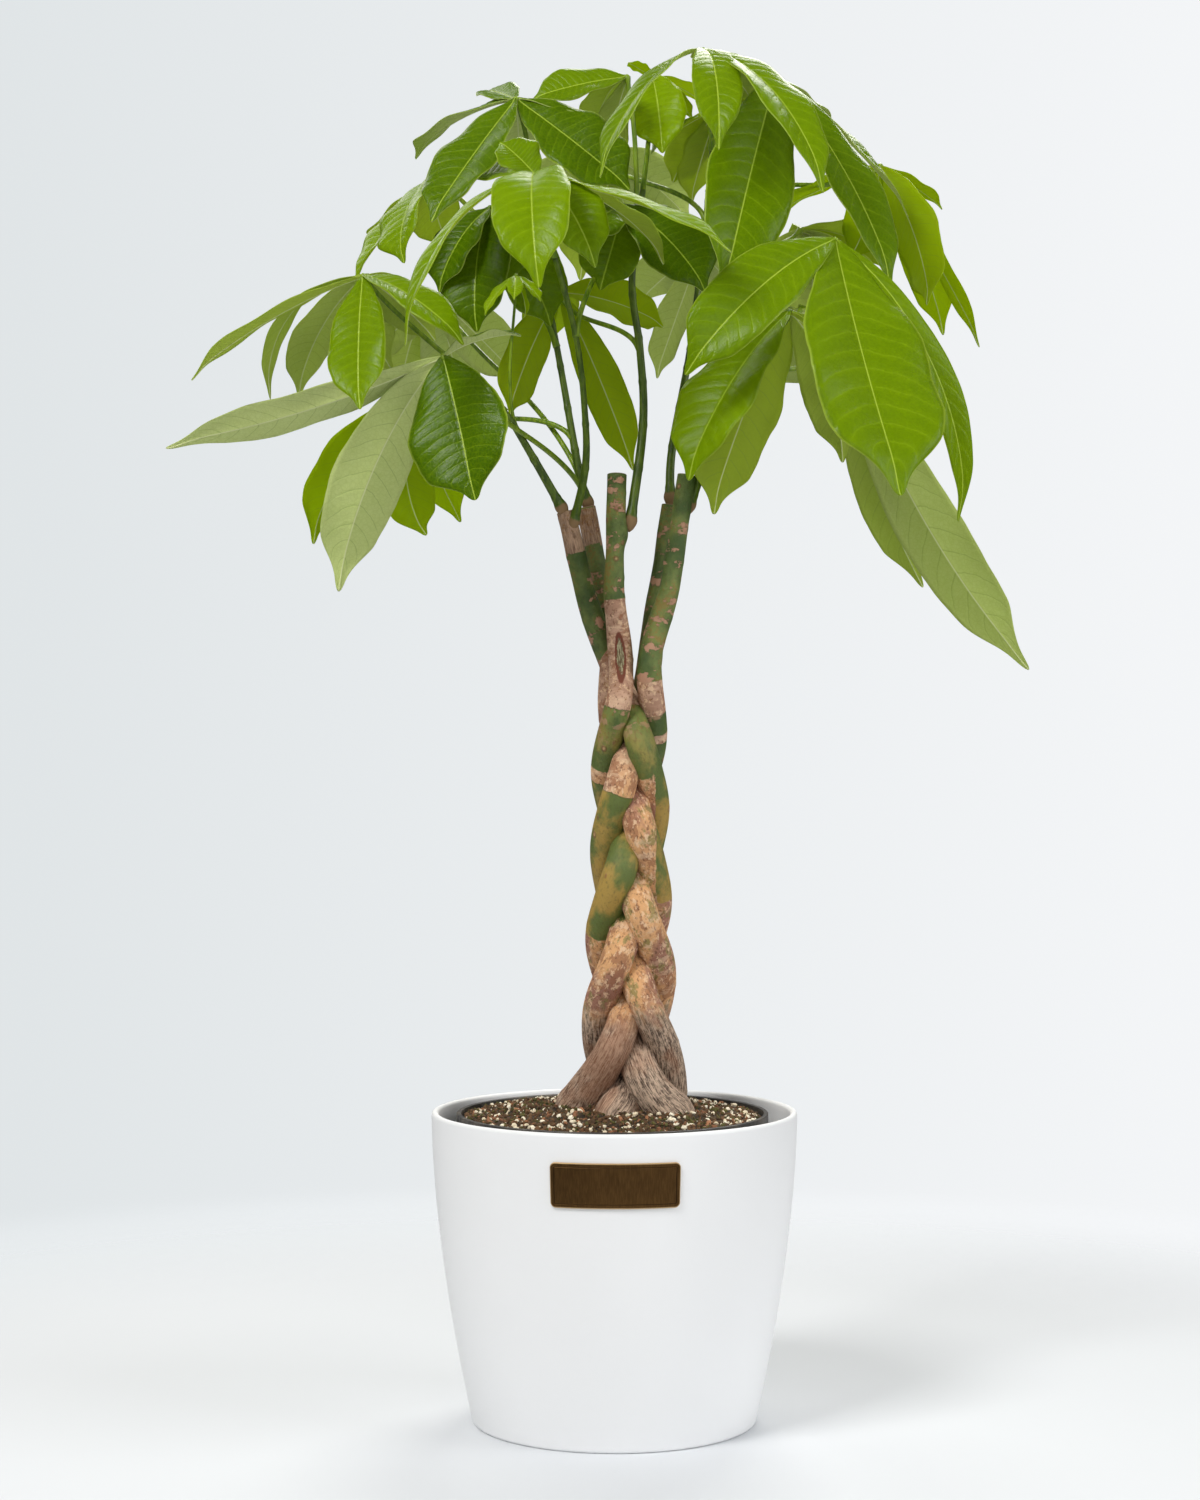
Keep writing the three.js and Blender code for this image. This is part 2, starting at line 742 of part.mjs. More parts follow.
const COLOURS = {
  planter: "#efefec",
  nursery_pot: "#26261f",
  soil: "#4a3526",
  brass_plate: "#6b4a22",
  trunk: "#8a6f4c",
  shoot: "#5f8a2c",
  leaf: "#2f7a26",
};

const tree = new THREE.Group();
tree.name = "potted_money_tree";

function add(name, solid, color) {
  const material = new THREE.MeshStandardMaterial({ color, roughness: 0.7 });
  const mesh = new THREE.Mesh(geometryOf(solid), material);
  mesh.name = name;
  tree.add(mesh);
}

add("planter", solidOf(planter()), COLOURS.planter);
add("nursery_pot", nurseryPot(), COLOURS.nursery_pot);
add("brass_plate", brassPlate(), COLOURS.brass_plate);

const trunksWithGap = TRUNKS.map((trunk) => trunkBar(trunk, GAP));
add("soil", soil(wasm.Manifold.union(trunksWithGap)), COLOURS.soil);
TRUNKS.forEach((trunk, i) => {
  // Where trunks press together, each gives way to those before it.
  const before = trunksWithGap.slice(0, i);
  const free = before.reduce((solid, other) => solid.subtract(other), trunkBar(trunk, 0));
  add(trunk.name, mainBody(free), COLOURS.trunk);
});

const allTrunks = wasm.Manifold.union(trunksWithGap);
const shootsWithGap = Object.values(SHOOTS).map((shoot) => shootBar(shoot, GAP));
for (const [name, shoot] of Object.entries(SHOOTS))
  add(name, mainBody(shootBar(shoot, 0).subtract(allTrunks)), COLOURS.shoot);

const woody = wasm.Manifold.union([allTrunks, ...shootsWithGap]);
for (const [name, leaf] of Object.entries(LEAVES))
  add(name, mainBody(leafSolid(leaf).subtract(woody)), COLOURS.leaf);

export default tree;
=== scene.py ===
# %% [markdown]
# # A potted money tree
# The solid model of this plant is already packed: a planter, a nursery pot of soil, five braided trunks,
# their green shoots and twenty-four leaves. This lesson dresses it. Each cell explains one piece or one
# finish, builds it with numpy and puts it exactly where the solid stands. Lengths are written in
# millimetres, as a nursery would measure them, and turned into metres once, when a mesh is made.

import math

import bpy
import numpy as np
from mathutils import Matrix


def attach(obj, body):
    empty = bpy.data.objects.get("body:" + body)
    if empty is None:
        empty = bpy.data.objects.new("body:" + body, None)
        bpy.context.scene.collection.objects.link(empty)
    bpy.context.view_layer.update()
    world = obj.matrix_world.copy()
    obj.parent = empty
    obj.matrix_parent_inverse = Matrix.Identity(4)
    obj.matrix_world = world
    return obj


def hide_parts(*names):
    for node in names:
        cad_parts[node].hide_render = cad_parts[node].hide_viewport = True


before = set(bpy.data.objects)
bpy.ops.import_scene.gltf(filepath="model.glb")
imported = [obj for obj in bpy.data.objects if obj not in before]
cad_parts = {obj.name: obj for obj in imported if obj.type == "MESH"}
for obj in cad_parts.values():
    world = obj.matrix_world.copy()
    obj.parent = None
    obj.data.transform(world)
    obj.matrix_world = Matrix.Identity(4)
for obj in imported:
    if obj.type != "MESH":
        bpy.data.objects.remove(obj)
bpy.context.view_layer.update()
MM = 0.001
print("nodes in the frame:", len(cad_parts))


# %% [markdown]
# ## Reading places from a level front view
# A tree has no drawing with round numbers. Its free forms were measured in a level front view, so a point
# is given as across, down and depth. The first two are view units from the top left corner, and depth is
# in millimetres, negative towards the front. A pinhole formula turns them into places: a thing twice as
# far away covers half as many units.

# %% The front view's geometry
VIEW_FOCAL, VIEW_CENTRE, VIEW_HEIGHT = 2780, np.array([600, 750]), 1500
EYE_X, EYE_DISTANCE, EYE_Z = -11, 2133, 513


def stacked(*parts):
    """Arrays that broadcast together, set side by side in a new last axis: x, y and z become points."""
    return np.stack(np.broadcast_arrays(*parts), axis=-1)


def seen(place):
    """Places in mm for an array of (across, down, depth)."""
    across, down, depth = np.moveaxis(np.asarray(place, float), -1, 0)
    scale = (EYE_DISTANCE + depth) / VIEW_FOCAL
    x = EYE_X + (across - VIEW_CENTRE[0]) * scale
    z = EYE_Z - (down - VIEW_CENTRE[1]) * scale
    return stacked(x, depth, z)


print("a view unit at the trunks:", round(EYE_DISTANCE / VIEW_FOCAL, 2), "mm")


# %% [markdown]
# ## The camera
# The view is straight and level, with a long lens, so upright lines stay upright.

# %% Camera
SENSOR = 36


def added(name, data):
    """Links a new object that holds this data to the scene."""
    made = bpy.data.objects.new(name, data)
    bpy.context.collection.objects.link(made)
    return made


def make_camera():
    """The lens is to the sensor as the focal length in view units is to the view's height."""
    data = bpy.data.cameras.new("front_camera")
    data.sensor_width = SENSOR
    data.lens = SENSOR * VIEW_FOCAL / VIEW_HEIGHT
    camera = added("front_camera", data)
    camera.location = np.array([EYE_X, -EYE_DISTANCE, EYE_Z]) * MM
    camera.rotation_euler = (math.radians(90), 0, 0)
    bpy.context.scene.camera = camera
    print("lens:", round(data.lens, 1), "mm")


make_camera()


# %% [markdown]
# ## Writing finishes as sums
# A procedural finish is arithmetic on patterns. Written by hand as nodes, it is long and hard to read. A
# small class wraps a node's output so that `1 - mask` or `noise * 0.5` adds the Math node itself. Another
# one holds the material and adds any other node from its type, its settings and its inputs.

# %% A socket that can be added and multiplied
class Wire:
    """A node's output that Python's operators can be used on."""

    def __init__(self, finish, socket):
        self.finish = finish
        self.socket = socket

    def __add__(self, other):
        return self.finish.math("ADD", self, other)

    def __sub__(self, other):
        return self.finish.math("SUBTRACT", self, other)

    def __rsub__(self, other):
        return self.finish.math("SUBTRACT", other, self)

    def __mul__(self, other):
        return self.finish.math("MULTIPLY", self, other)

    __radd__, __rmul__ = __add__, __mul__

    def distance_to_whole(self):
        """How far a value is from the nearest whole number, 0 to 0.5."""
        return self.finish.math("PINGPONG", self, 0.5)

    def soft_step(self, low, high, start=0, end=1):
        """start where the value is below low, end above high, with a soft S between."""
        inputs = {"Value": self, "From Min": low, "From Max": high, "To Min": start, "To Max": end}
        return self.finish.node("ShaderNodeMapRange", {"interpolation_type": "SMOOTHSTEP"}, inputs)


print("wires can be added, subtracted and multiplied")


# %% A material that grows node by node
def colour(shown):
    """A colour as a screen shows it, 0 to 255, in the linear values that shaders want. A wire, or a colour
    that already has its four linear values, stays as it is."""
    if isinstance(shown, Wire) or len(shown) != 3:
        return shown
    part = np.array(shown) / 255
    linear = np.where(part <= 0.04045, part / 12.92, ((part + 0.055) / 1.055) ** 2.4)
    return (*linear.tolist(), 1.0)


class Finish:
    """A material, or the world, whose nodes are added by short calls. place is where a point is on an
    object, and for the world the direction in which it lies."""

    def __init__(self, name, kind="Material"):
        owners, place = {
            "Material": (bpy.data.materials, "Object"),
            "World": (bpy.data.worlds, "Generated"),
        }[kind]
        self.kind = kind
        self.owner = owners.new(name)
        self.owner.use_nodes = True
        self.tree = self.owner.node_tree
        self.tree.nodes.clear()
        self.place = self.node("ShaderNodeTexCoord", output=place)

    def node(self, kind, settings=None, inputs=None, output=0):
        """Adds a node, sets it, then gives its inputs values or links."""
        made = self.tree.nodes.new(kind)
        for key, value in (settings or {}).items():
            setattr(made, key, value)
        for key, value in (inputs or {}).items():
            if isinstance(value, Wire):
                self.tree.links.new(value.socket, made.inputs[key])
            else:
                made.inputs[key].default_value = value
        return Wire(self, made.outputs[output]) if made.outputs else None

    def math(self, operation, first, second=0.0):
        """One step of arithmetic."""
        return self.node("ShaderNodeMath", {"operation": operation}, {0: first, 1: second})

    def value(self, name):
        """A value that the mesh keeps at each point."""
        return self.node("ShaderNodeAttribute", {"attribute_name": name}, output="Fac")

    def stretched(self, x, y, z, place=None):
        """A place scaled along each axis, so that a pattern is drawn out along the others."""
        return self.node("ShaderNodeMapping", None, {"Vector": place or self.place, "Scale": (x, y, z)})

    def noise(self, scale, detail=3.0, roughness=0.55, place=None):
        """Cloudy values round 0.5. scale is how many clouds fit in a metre."""
        inputs = {"Vector": place or self.place, "Scale": scale, "Detail": detail, "Roughness": roughness}
        return self.node("ShaderNodeTexNoise", None, inputs)

    def cells(self, scale, feature="F1", place=None):
        """Distance from the middles of scattered cells, or from their edges."""
        inputs = {"Vector": place or self.place, "Scale": scale}
        return self.node("ShaderNodeTexVoronoi", {"feature": feature}, inputs, output="Distance")

    def blend(self, share, first, second):
        """Colour that goes from first to second as share goes from 0 to 1."""
        inputs = {0: share, 6: colour(first), 7: colour(second)}
        return self.node("ShaderNodeMix", {"data_type": "RGBA"}, inputs, output=2)

    def coats(self, shade, *coats):
        """Lays colours over a shade one by one, each given as (share, colour)."""
        for share, coat in coats:
            shade = self.blend(share, shade, coat)
        return shade

    def bump(self, height, strength, distance):
        """Small relief that only light feels. distance is its height in metres."""
        inputs = {"Height": height, "Strength": strength, "Distance": distance}
        return self.node("ShaderNodeBump", None, inputs)

    def principled(self, **inputs):
        """The standard shader. A socket's name is written with _ for each space."""
        named = {key.replace("_", " "): value for key, value in inputs.items()}
        return self.node("ShaderNodeBsdfPrincipled", None, named)

    def mixed(self, share, first, second):
        """Goes from one shader to another as share goes from 0 to 1."""
        return self.node("ShaderNodeMixShader", None, {0: share, 1: first, 2: second})

    def done(self, shader):
        """Ends in a shader, and returns the material or world."""
        self.node("ShaderNodeOutput" + self.kind, None, {"Surface": shader})
        return self.owner


print("a middle grey of 128 is", round(colour((128, 128, 128))[0], 3), "in a shader")


# %% [markdown]
# ## The studio
# A bright, even world stands in for a white studio. A broad lamp from the upper left shapes the leaves, two
# soft ones fill the shadows, and two more, behind the plant on either side, shine through the leaves.

# %% World and lamps
WALL_LEFT, WALL_RIGHT, WALL_TURN = (0.75, 0.785, 0.8, 1), (0.9, 0.915, 0.93, 1), 0.2
DAYLIGHT, MIRRORED = 0.3, 0.08
# Each lamp's place and the height it is aimed at, in metres, its size, its watts and its tint.
LAMPS = {
    "key_upper_left": ((-1.5, -1.7, 2.6), 0.7, 1.1, 74, (1, 0.985, 0.96)),
    "front_fill": ((0.9, -3.5, 1.3), 0.6, 2.2, 24, (1, 1, 1)),
    "right_fill": ((2.4, -0.9, 1.4), 0.6, 1.6, 34, (1, 1, 1)),
    "glow_behind_right": ((0.5, 1.8, 2.4), 0.85, 1.2, 36, (1, 0.98, 0.92)),
    "glow_behind_left": ((-1.1, 1.7, 2.2), 0.85, 1.2, 12, (1, 0.98, 0.92)),
}


def make_world():
    """A plain world in three parts: the wall that the camera sees, which gets lighter from left to right,
    what lights the plant, and what shines back from its glossy parts. The last is darker, so that only the
    lamps make highlights."""
    world = Finish("studio", "World")
    across = world.node("ShaderNodeSeparateXYZ", None, {0: world.place}, output="X")
    turn = {"Value": across, "From Min": -WALL_TURN, "From Max": WALL_TURN}
    wall = world.blend(world.node("ShaderNodeMapRange", None, turn), WALL_LEFT, WALL_RIGHT)
    shown = world.node("ShaderNodeBackground", None, {"Color": wall})
    for ray, strength in (("Glossy", MIRRORED), ("Diffuse", DAYLIGHT), ("Transmission", DAYLIGHT)):
        tone = world.node("ShaderNodeBackground", None, {"Color": (1, 1, 1, 1), "Strength": strength})
        shown = world.mixed(world.node("ShaderNodeLightPath", output=f"Is {ray} Ray"), shown, tone)
    bpy.context.scene.world = world.done(shown)


def make_lamp(name, place, aim, size, watts, tint):
    """A square area lamp, turned from its place towards the upright axis at the aimed height."""
    data = bpy.data.lights.new(name, "AREA")
    data.size, data.energy, data.color = size, watts, tint
    lamp = added(name, data)
    lamp.location = place
    away = np.array(place, float) - (0, 0, aim)
    lamp.rotation_euler = (math.acos(away[2] / np.linalg.norm(away)), 0, math.atan2(away[0], -away[1]))


bpy.context.scene.view_settings.view_transform = "Standard"
make_world()
for name, lamp in LAMPS.items():
    make_lamp(name, *lamp)
print("lamps:", len(LAMPS))


# %% [markdown]
# ## Shapes as arrays
# Every piece below is a surface worked out as a whole array: a grid of points, or a profile carried along
# a path. A shape is a small record with its points, its four-cornered and three-cornered faces and one
# value per point for whatever the finish wants to know. Shapes are joined and turned into one mesh.

# %% Grids, tubes and slabs
def grid_quads(rows, columns, around=False):
    """Faces of a grid whose points run row by row. around joins the last column to the first."""
    row = np.arange(rows - 1)[:, None] * columns
    column = np.arange(columns if around else columns - 1)[None, :]
    right = (column + 1) % columns
    faces = stacked(row + column, row + right, row + columns + right, row + columns + column)
    return faces.reshape(-1, 4)


def shape_of(points, quads, triangles=None, **values):
    """A record of one surface. A value may be a number for all points or an array with one for each."""
    points = points.reshape(-1, 3)
    triangles = np.zeros((0, 3), int) if triangles is None else triangles
    spread = {key: np.broadcast_to(np.ravel(value), len(points)) for key, value in values.items()}
    return {"points": points, "quads": quads, "triangles": triangles, "values": spread}


def tube(rings, **values):
    """A closed tube through rings of points (rows, corners, 3). Each end is closed at a pole, the middle of
    its ring. A value has one number for each row or point, and a pole takes its ring's mean."""
    rows, corners = rings.shape[:2]
    points = np.concatenate([rings.reshape(-1, 3), [rings[0].mean(0), rings[-1].mean(0)]])
    here = np.arange(corners)
    following = (here + 1) % corners
    start_pole = rows * corners
    end_row = start_pole - corners
    start_cap = stacked(start_pole, following, here)
    end_cap = stacked(start_pole + 1, end_row + here, end_row + following)
    for key, value in values.items():
        if np.ndim(value):
            grid = np.broadcast_to(value, (rows, corners))
            values[key] = np.concatenate([grid.ravel(), [grid[0].mean(), grid[-1].mean()]])
    triangles = np.concatenate([start_cap, end_cap])
    return shape_of(points, grid_quads(rows, corners, around=True), triangles, **values)


def slab(upper, lower, **values):
    """A closed plate between two grids of points (rows, columns, 3), joined along their four edges.
    A value is given as a pair of grids, for the upper and the lower face."""
    rows, columns = upper.shape[:2]
    count = rows * columns
    top = grid_quads(rows, columns)
    number = np.arange(count).reshape(rows, columns)
    rim = np.concatenate([number[0], number[1:, -1], number[-1, -2::-1], number[-2:0:-1, 0]])
    following = np.roll(rim, -1)
    edge = stacked(rim, following, following + count, rim + count)
    joined = {}
    for key, pair in values.items():
        joined[key] = np.concatenate([np.broadcast_to(face, (rows, columns)).ravel() for face in pair])
    points = np.concatenate([upper.reshape(-1, 3), lower.reshape(-1, 3)])
    return shape_of(points, np.concatenate([top[:, ::-1], top + count, edge]), **joined)


print("faces of a grid of 3 by 4 points:", len(grid_quads(3, 4)))


# %% [markdown]
# Blender takes a mesh fastest as flat arrays. Values become point attributes that a finish can read by
# name, and the values u and v, where a shape has them, also become a UV map.

# %% From shapes to a piece
def make_piece(name, shapes, finish, stands_for=None, smooth=True):
    """Joins shapes into one mesh object that rides on the plant's only body."""
    offsets = np.cumsum([0] + [len(s["points"]) for s in shapes])
    points = np.concatenate([s["points"] for s in shapes]) * MM
    quads = np.concatenate([s["quads"] + o for s, o in zip(shapes, offsets)])
    triangles = np.concatenate([s["triangles"] + o for s, o in zip(shapes, offsets)])
    corners = np.concatenate([quads.ravel(), triangles.ravel()]).astype(np.int32)
    sides = np.repeat([4, 3], [len(quads), len(triangles)])
    mesh = bpy.data.meshes.new(name)
    mesh.vertices.add(len(points))
    mesh.vertices.foreach_set("co", points.astype(np.float32).ravel())
    mesh.loops.add(len(corners))
    mesh.loops.foreach_set("vertex_index", corners)
    mesh.polygons.add(len(sides))
    mesh.polygons.foreach_set("loop_start", (np.cumsum(sides) - sides).astype(np.int32))
    mesh.polygons.foreach_set("use_smooth", np.full(len(sides), smooth))
    mesh.update(calc_edges=True)
    values = {key: np.concatenate([s["values"][key] for s in shapes]) for key in shapes[0]["values"]}
    for key, value in values.items():
        mesh.attributes.new(key, "FLOAT", "POINT").data.foreach_set("value", value.astype(np.float32))
    if "u" in values:
        places = stacked(values["u"], values["v"])[corners]
        mesh.uv_layers.new(name="surface").uv.foreach_set("vector", places.astype(np.float32).ravel())
    mesh.materials.append(finish)
    piece = added(name, mesh)
    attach(piece, "root")
    if stands_for:
        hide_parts(stands_for)
    print(name, len(sides), "faces")


def smoothstep(low, high, value):
    """0 below low, 1 above high, and a soft S between them."""
    share = np.clip((value - low) / (high - low), 0, 1)
    return share * share * (3 - 2 * share)


def ring_angles(sides):
    """Angles of corners spread evenly round a ring."""
    return np.arange(sides) * 2 * np.pi / sides


print("a soft step from 0 to 4 at its whole numbers:", smoothstep(0, 4, np.arange(5)).round(2))


# %% [markdown]
# ## The planter
# The planter is a smooth moulded shell, matte white, whose side bows a little between rim and foot. A
# profile turned round the axis gives it in one go. The wall is one thickness all over, and the lip is
# half a circle, because a moulded edge is never sharp.

# %% Planter profile
PLANTER_HEIGHT, RIM_RADIUS, BASE_RADIUS, PLANTER_BULGE = 237, 140, 108.4, 1.7
PLANTER_WALL, PLANTER_FLOOR, FOOT_ROUND, CORNER_ROUND = 5.5, 8, 3, 4
# Radius of the last ring before the pole that closes a turned shape.
POLE_RING = 2.0


def planter_radius(z):
    """The outline falls from the rim's radius to the base's with a power of the drop below the rim."""
    drop = (PLANTER_HEIGHT - z) / PLANTER_HEIGHT
    return RIM_RADIUS + (BASE_RADIUS - RIM_RADIUS) * drop**PLANTER_BULGE


def arc(centre, radius, start, end, count):
    """Profile points on an arc, angles in degrees from the outward direction."""
    angle = np.radians(np.linspace(start, end, count))
    return np.array(centre) + radius * stacked(np.cos(angle), np.sin(angle))


def turned(profile, sides, centre_x=0.0, lift=None):
    """Carries a profile of (radius, height) once round an upright axis, closed at both ends.
    lift, where given, is a function of x and y that raises points."""
    angle = ring_angles(sides)
    radius = profile[:, 0][:, None]
    x = centre_x + radius * np.cos(angle)
    y = radius * np.sin(angle)
    z = profile[:, 1][:, None]
    if lift is not None:
        z = z + lift(x, y)
    return tube(stacked(x, y, z))


def planter_profile():
    """Up the outside from the foot, over the lip, and down the inside to the floor."""
    lip_radius = PLANTER_WALL / 2
    foot = arc((planter_radius(FOOT_ROUND) - FOOT_ROUND, FOOT_ROUND), FOOT_ROUND, -90, -8, 8)
    outside_z = np.linspace(FOOT_ROUND + 2, PLANTER_HEIGHT - lip_radius, 60)
    outside = stacked(planter_radius(outside_z), outside_z)
    lip_centre = (planter_radius(PLANTER_HEIGHT) - lip_radius, PLANTER_HEIGHT - lip_radius)
    lip = arc(lip_centre, lip_radius, 8, 176, 12)
    inside_z = np.linspace(PLANTER_HEIGHT - PLANTER_WALL, PLANTER_FLOOR + CORNER_ROUND, 30)
    inside = stacked(planter_radius(inside_z) - PLANTER_WALL, inside_z)
    floor = [(inside[-1, 0] - CORNER_ROUND, PLANTER_FLOOR), (POLE_RING, PLANTER_FLOOR)]
    return np.concatenate([[(POLE_RING, 0)], foot, outside, lip, inside, floor])


print("planter radius at the foot:", planter_radius(0), "mm")


# %% [markdown]
# The finish is a matte white with next to no pattern. What tells the eye that it is moulded and not
# painted air is a very fine orange peel and a roughness that wanders a little.

# %% Matte white shell
def matte_white():
    """Slow clouds shift the tone and the roughness, and a fine noise is the peel."""
    finish = Finish("matte_white_shell")
    mottle = finish.noise(6.0, 2.0)
    shader = finish.principled(
        Base_Color=finish.blend(mottle, (228, 229, 230), (233, 234, 235)),
        Roughness=mottle.soft_step(0.3, 0.7, 0.48, 0.58),
        Normal=finish.bump(finish.noise(900.0, 2.0), 0.12, 0.0004),
    )
    return finish.done(shader)


make_piece("planter_shell", [turned(planter_profile(), 144)], matte_white(), "planter")


# %% [markdown]
# ## The nursery pot
# Inside the planter stands the pot the tree was grown in: thin, smoky plastic with a turned lip. Only the
# rim and a little of the inner wall show, but the whole pot is made, because it can be lifted out.

# %% Nursery pot
POT_CENTRE_X, POT_RIM_RADIUS, POT_BASE_RADIUS, POT_WALL = -1.5, 119.5, 94, 1.6
POT_LIP, POT_LIP_HEIGHT, POT_BEAD, POT_RIM_Z = 2.2, 9, 0.8, 235.5
REST_GAP = 0.3
POT_FLOOR = PLANTER_FLOOR + REST_GAP


def pot_radius(z):
    """Outer radius of the plain wall below the lip."""
    share = (z - POT_FLOOR) / (POT_RIM_Z - POT_FLOOR)
    return POT_BASE_RADIUS + (POT_RIM_RADIUS - POT_LIP - POT_BASE_RADIUS) * share


def nursery_profile():
    """Out along the bottom, up the wall and the lip, over two small rounds, and down the inside."""
    lip_z, bead_z = POT_RIM_Z - POT_LIP_HEIGHT, POT_RIM_Z - POT_BEAD
    foot, floor = pot_radius(POT_FLOOR), POT_FLOOR + POT_WALL
    outside = [
        (POLE_RING, POT_FLOOR), (foot - 1, POT_FLOOR), (pot_radius(POT_FLOOR + 1), POT_FLOOR + 1),
        (pot_radius(lip_z), lip_z - 0.4), (POT_RIM_RADIUS - 0.3, lip_z), (POT_RIM_RADIUS, lip_z + 0.4),
    ]
    outer = arc((POT_RIM_RADIUS - POT_BEAD, bead_z), POT_BEAD, 0, 90, 6)
    inner = arc((pot_radius(POT_RIM_Z) - POT_WALL + POT_BEAD, bead_z), POT_BEAD, 90, 180, 6)
    inside = [(foot - POT_WALL, floor + 1), (foot - 3, floor), (POLE_RING, floor)]
    return np.concatenate([outside, outer, inner, inside])


def smoky_plastic():
    """Dark plastic with patches of dust and upright scuffs."""
    finish = Finish("smoky_plastic")
    dust = finish.noise(35.0, 4.0).soft_step(0.45, 0.75)
    scuffs = finish.noise(220.0, 2.0, place=finish.stretched(1, 1, 0.1))
    shader = finish.principled(
        Base_Color=finish.blend(dust, (46, 44, 42), (96, 88, 78)),
        Roughness=scuffs.soft_step(0.3, 0.7, 0.32, 0.5),
        Normal=finish.bump(scuffs, 0.15, 0.0003),
    )
    return finish.done(shader)


nursery = turned(nursery_profile(), 128, POT_CENTRE_X)
make_piece("nursery_pot_shell", [nursery], smoky_plastic(), "nursery_pot")


# %% [markdown]
# ## The soil
# Potting mix is dark peat with bark crumbs and white perlite. A bed with a rough, mounded surface carries
# the colour underneath, and a few thousand small loose grains on top break its outline. A grain is an
# icosahedron, squashed and turned at random: twenty faces are plenty for something two millimetres wide.

# %% Soil bed
SOIL_EDGE_Z, SOIL_MOUND, SOIL_RELIEF, SOIL_GRIT = 231.5, 9, 1.6, 0.5
rng = np.random.default_rng(7)


def soil_reach(z):
    """Radius of the soil: the pot's inner wall, less a small gap."""
    return pot_radius(z) - POT_WALL - 2 * REST_GAP


def soil_height(x, y):
    """A low mound towards the trunks, roughened by crossed waves."""
    share = np.clip(np.hypot(x - POT_CENTRE_X, y) / soil_reach(SOIL_EDGE_Z), 0, 1)
    crumb = np.sin(x * 0.21 + 1.3) * np.cos(y * 0.17)
    crumb = crumb + np.sin(x * 0.11 - y * 0.23) * np.cos(x * 0.3 + y * 0.1)
    fine = np.sin(x * 1.1 + 2 * np.sin(y * 0.6)) * np.cos(y * 0.9 + 1.7 * np.sin(x * 0.7))
    relief = SOIL_RELIEF * crumb + SOIL_GRIT * fine
    return SOIL_EDGE_Z + SOIL_MOUND * (1 - share**2) + relief * (1 - share**6)


def soil_bed():
    """Up the side from the bottom, then over the top in rings towards the middle."""
    bottom = POT_FLOOR + POT_WALL + REST_GAP
    side_z = np.linspace(bottom, SOIL_EDGE_Z, 12)
    side = stacked(soil_reach(side_z), side_z)
    top = stacked(np.linspace(soil_reach(SOIL_EDGE_Z), 0.5, 70)[1:], SOIL_EDGE_Z)
    profile = np.concatenate([[(POLE_RING, bottom)], side, top])
    on_top = np.arange(len(profile)) > len(side)

    def lift(x, y):
        """The mound's height over the edge, for the rows that are on top."""
        return np.where(on_top[:, None], soil_height(x, y) - SOIL_EDGE_Z, 0)

    return turned(profile, 180, POT_CENTRE_X, lift)


def dark_peat():
    """Lumps of two browns, with small paler specks over them."""
    finish = Finish("dark_peat")
    lumps = finish.noise(140.0, 6.0, 0.65)
    specks = finish.cells(420.0).soft_step(0.12, 0.3)
    shade = finish.blend(lumps.soft_step(0.35, 0.68), (34, 26, 16), (84, 64, 40))
    shade = finish.blend(specks, (104, 86, 60), shade)
    bump = finish.bump(lumps, 0.9, 0.003)
    return finish.done(finish.principled(Base_Color=shade, Roughness=0.92, Normal=bump))


make_piece("soil_bed", [soil_bed()], dark_peat(), "soil")


# %% [markdown]
# Crumbs are scattered with a seeded generator, so every run gives the same bed. One icosahedron is copied
# by array arithmetic: all copies are turned, squashed and moved at once, with no loop over points.

# %% Loose grains
GOLDEN = (1 + 5**0.5) / 2
ICO_POINTS = np.array(
    [
        (-1, GOLDEN, 0), (1, GOLDEN, 0), (-1, -GOLDEN, 0), (1, -GOLDEN, 0),
        (0, -1, GOLDEN), (0, 1, GOLDEN), (0, -1, -GOLDEN), (0, 1, -GOLDEN),
        (GOLDEN, 0, -1), (GOLDEN, 0, 1), (-GOLDEN, 0, -1), (-GOLDEN, 0, 1),
    ]
) / math.hypot(1, GOLDEN)
ICO_FACES = np.array(
    [
        (0, 11, 5), (0, 5, 1), (0, 1, 7), (0, 7, 10), (0, 10, 11),
        (1, 5, 9), (5, 11, 4), (11, 10, 2), (10, 7, 6), (7, 1, 8),
        (3, 9, 4), (3, 4, 2), (3, 2, 6), (3, 6, 8), (3, 8, 9),
        (4, 9, 5), (2, 4, 11), (6, 2, 10), (8, 6, 7), (9, 8, 1),
    ]
)
# For each kind: its finish, its darkest and lightest tone and the scale of its grit. Then how many there
# are, their smallest and largest size, how flat they are, how far they stand out and how far they drift.
GRAINS = {
    "soil_crumbs": ("peat_crumbs", (44, 34, 20), (112, 80, 50), 900, (3400, 0.9, 3.0, (0.8, 0.6), 0.2, 0)),
    "soil_moss": ("moss", (46, 44, 18), (98, 92, 44), 900, (1500, 0.8, 2.6, (0.6, 0.5), 0.5, -4.5)),
    "soil_bark_chips": (
        "bark_chips", (84, 52, 34), (168, 116, 80), 500, (600, 1.4, 4.2, (0.5, 0.35), 0.15, -2),
    ),
    "soil_perlite": (
        "perlite", (206, 186, 148), (244, 236, 214), 700, (900, 0.8, 2.9, (0.85, 0.7), 0.4, 4.5),
    ),
}


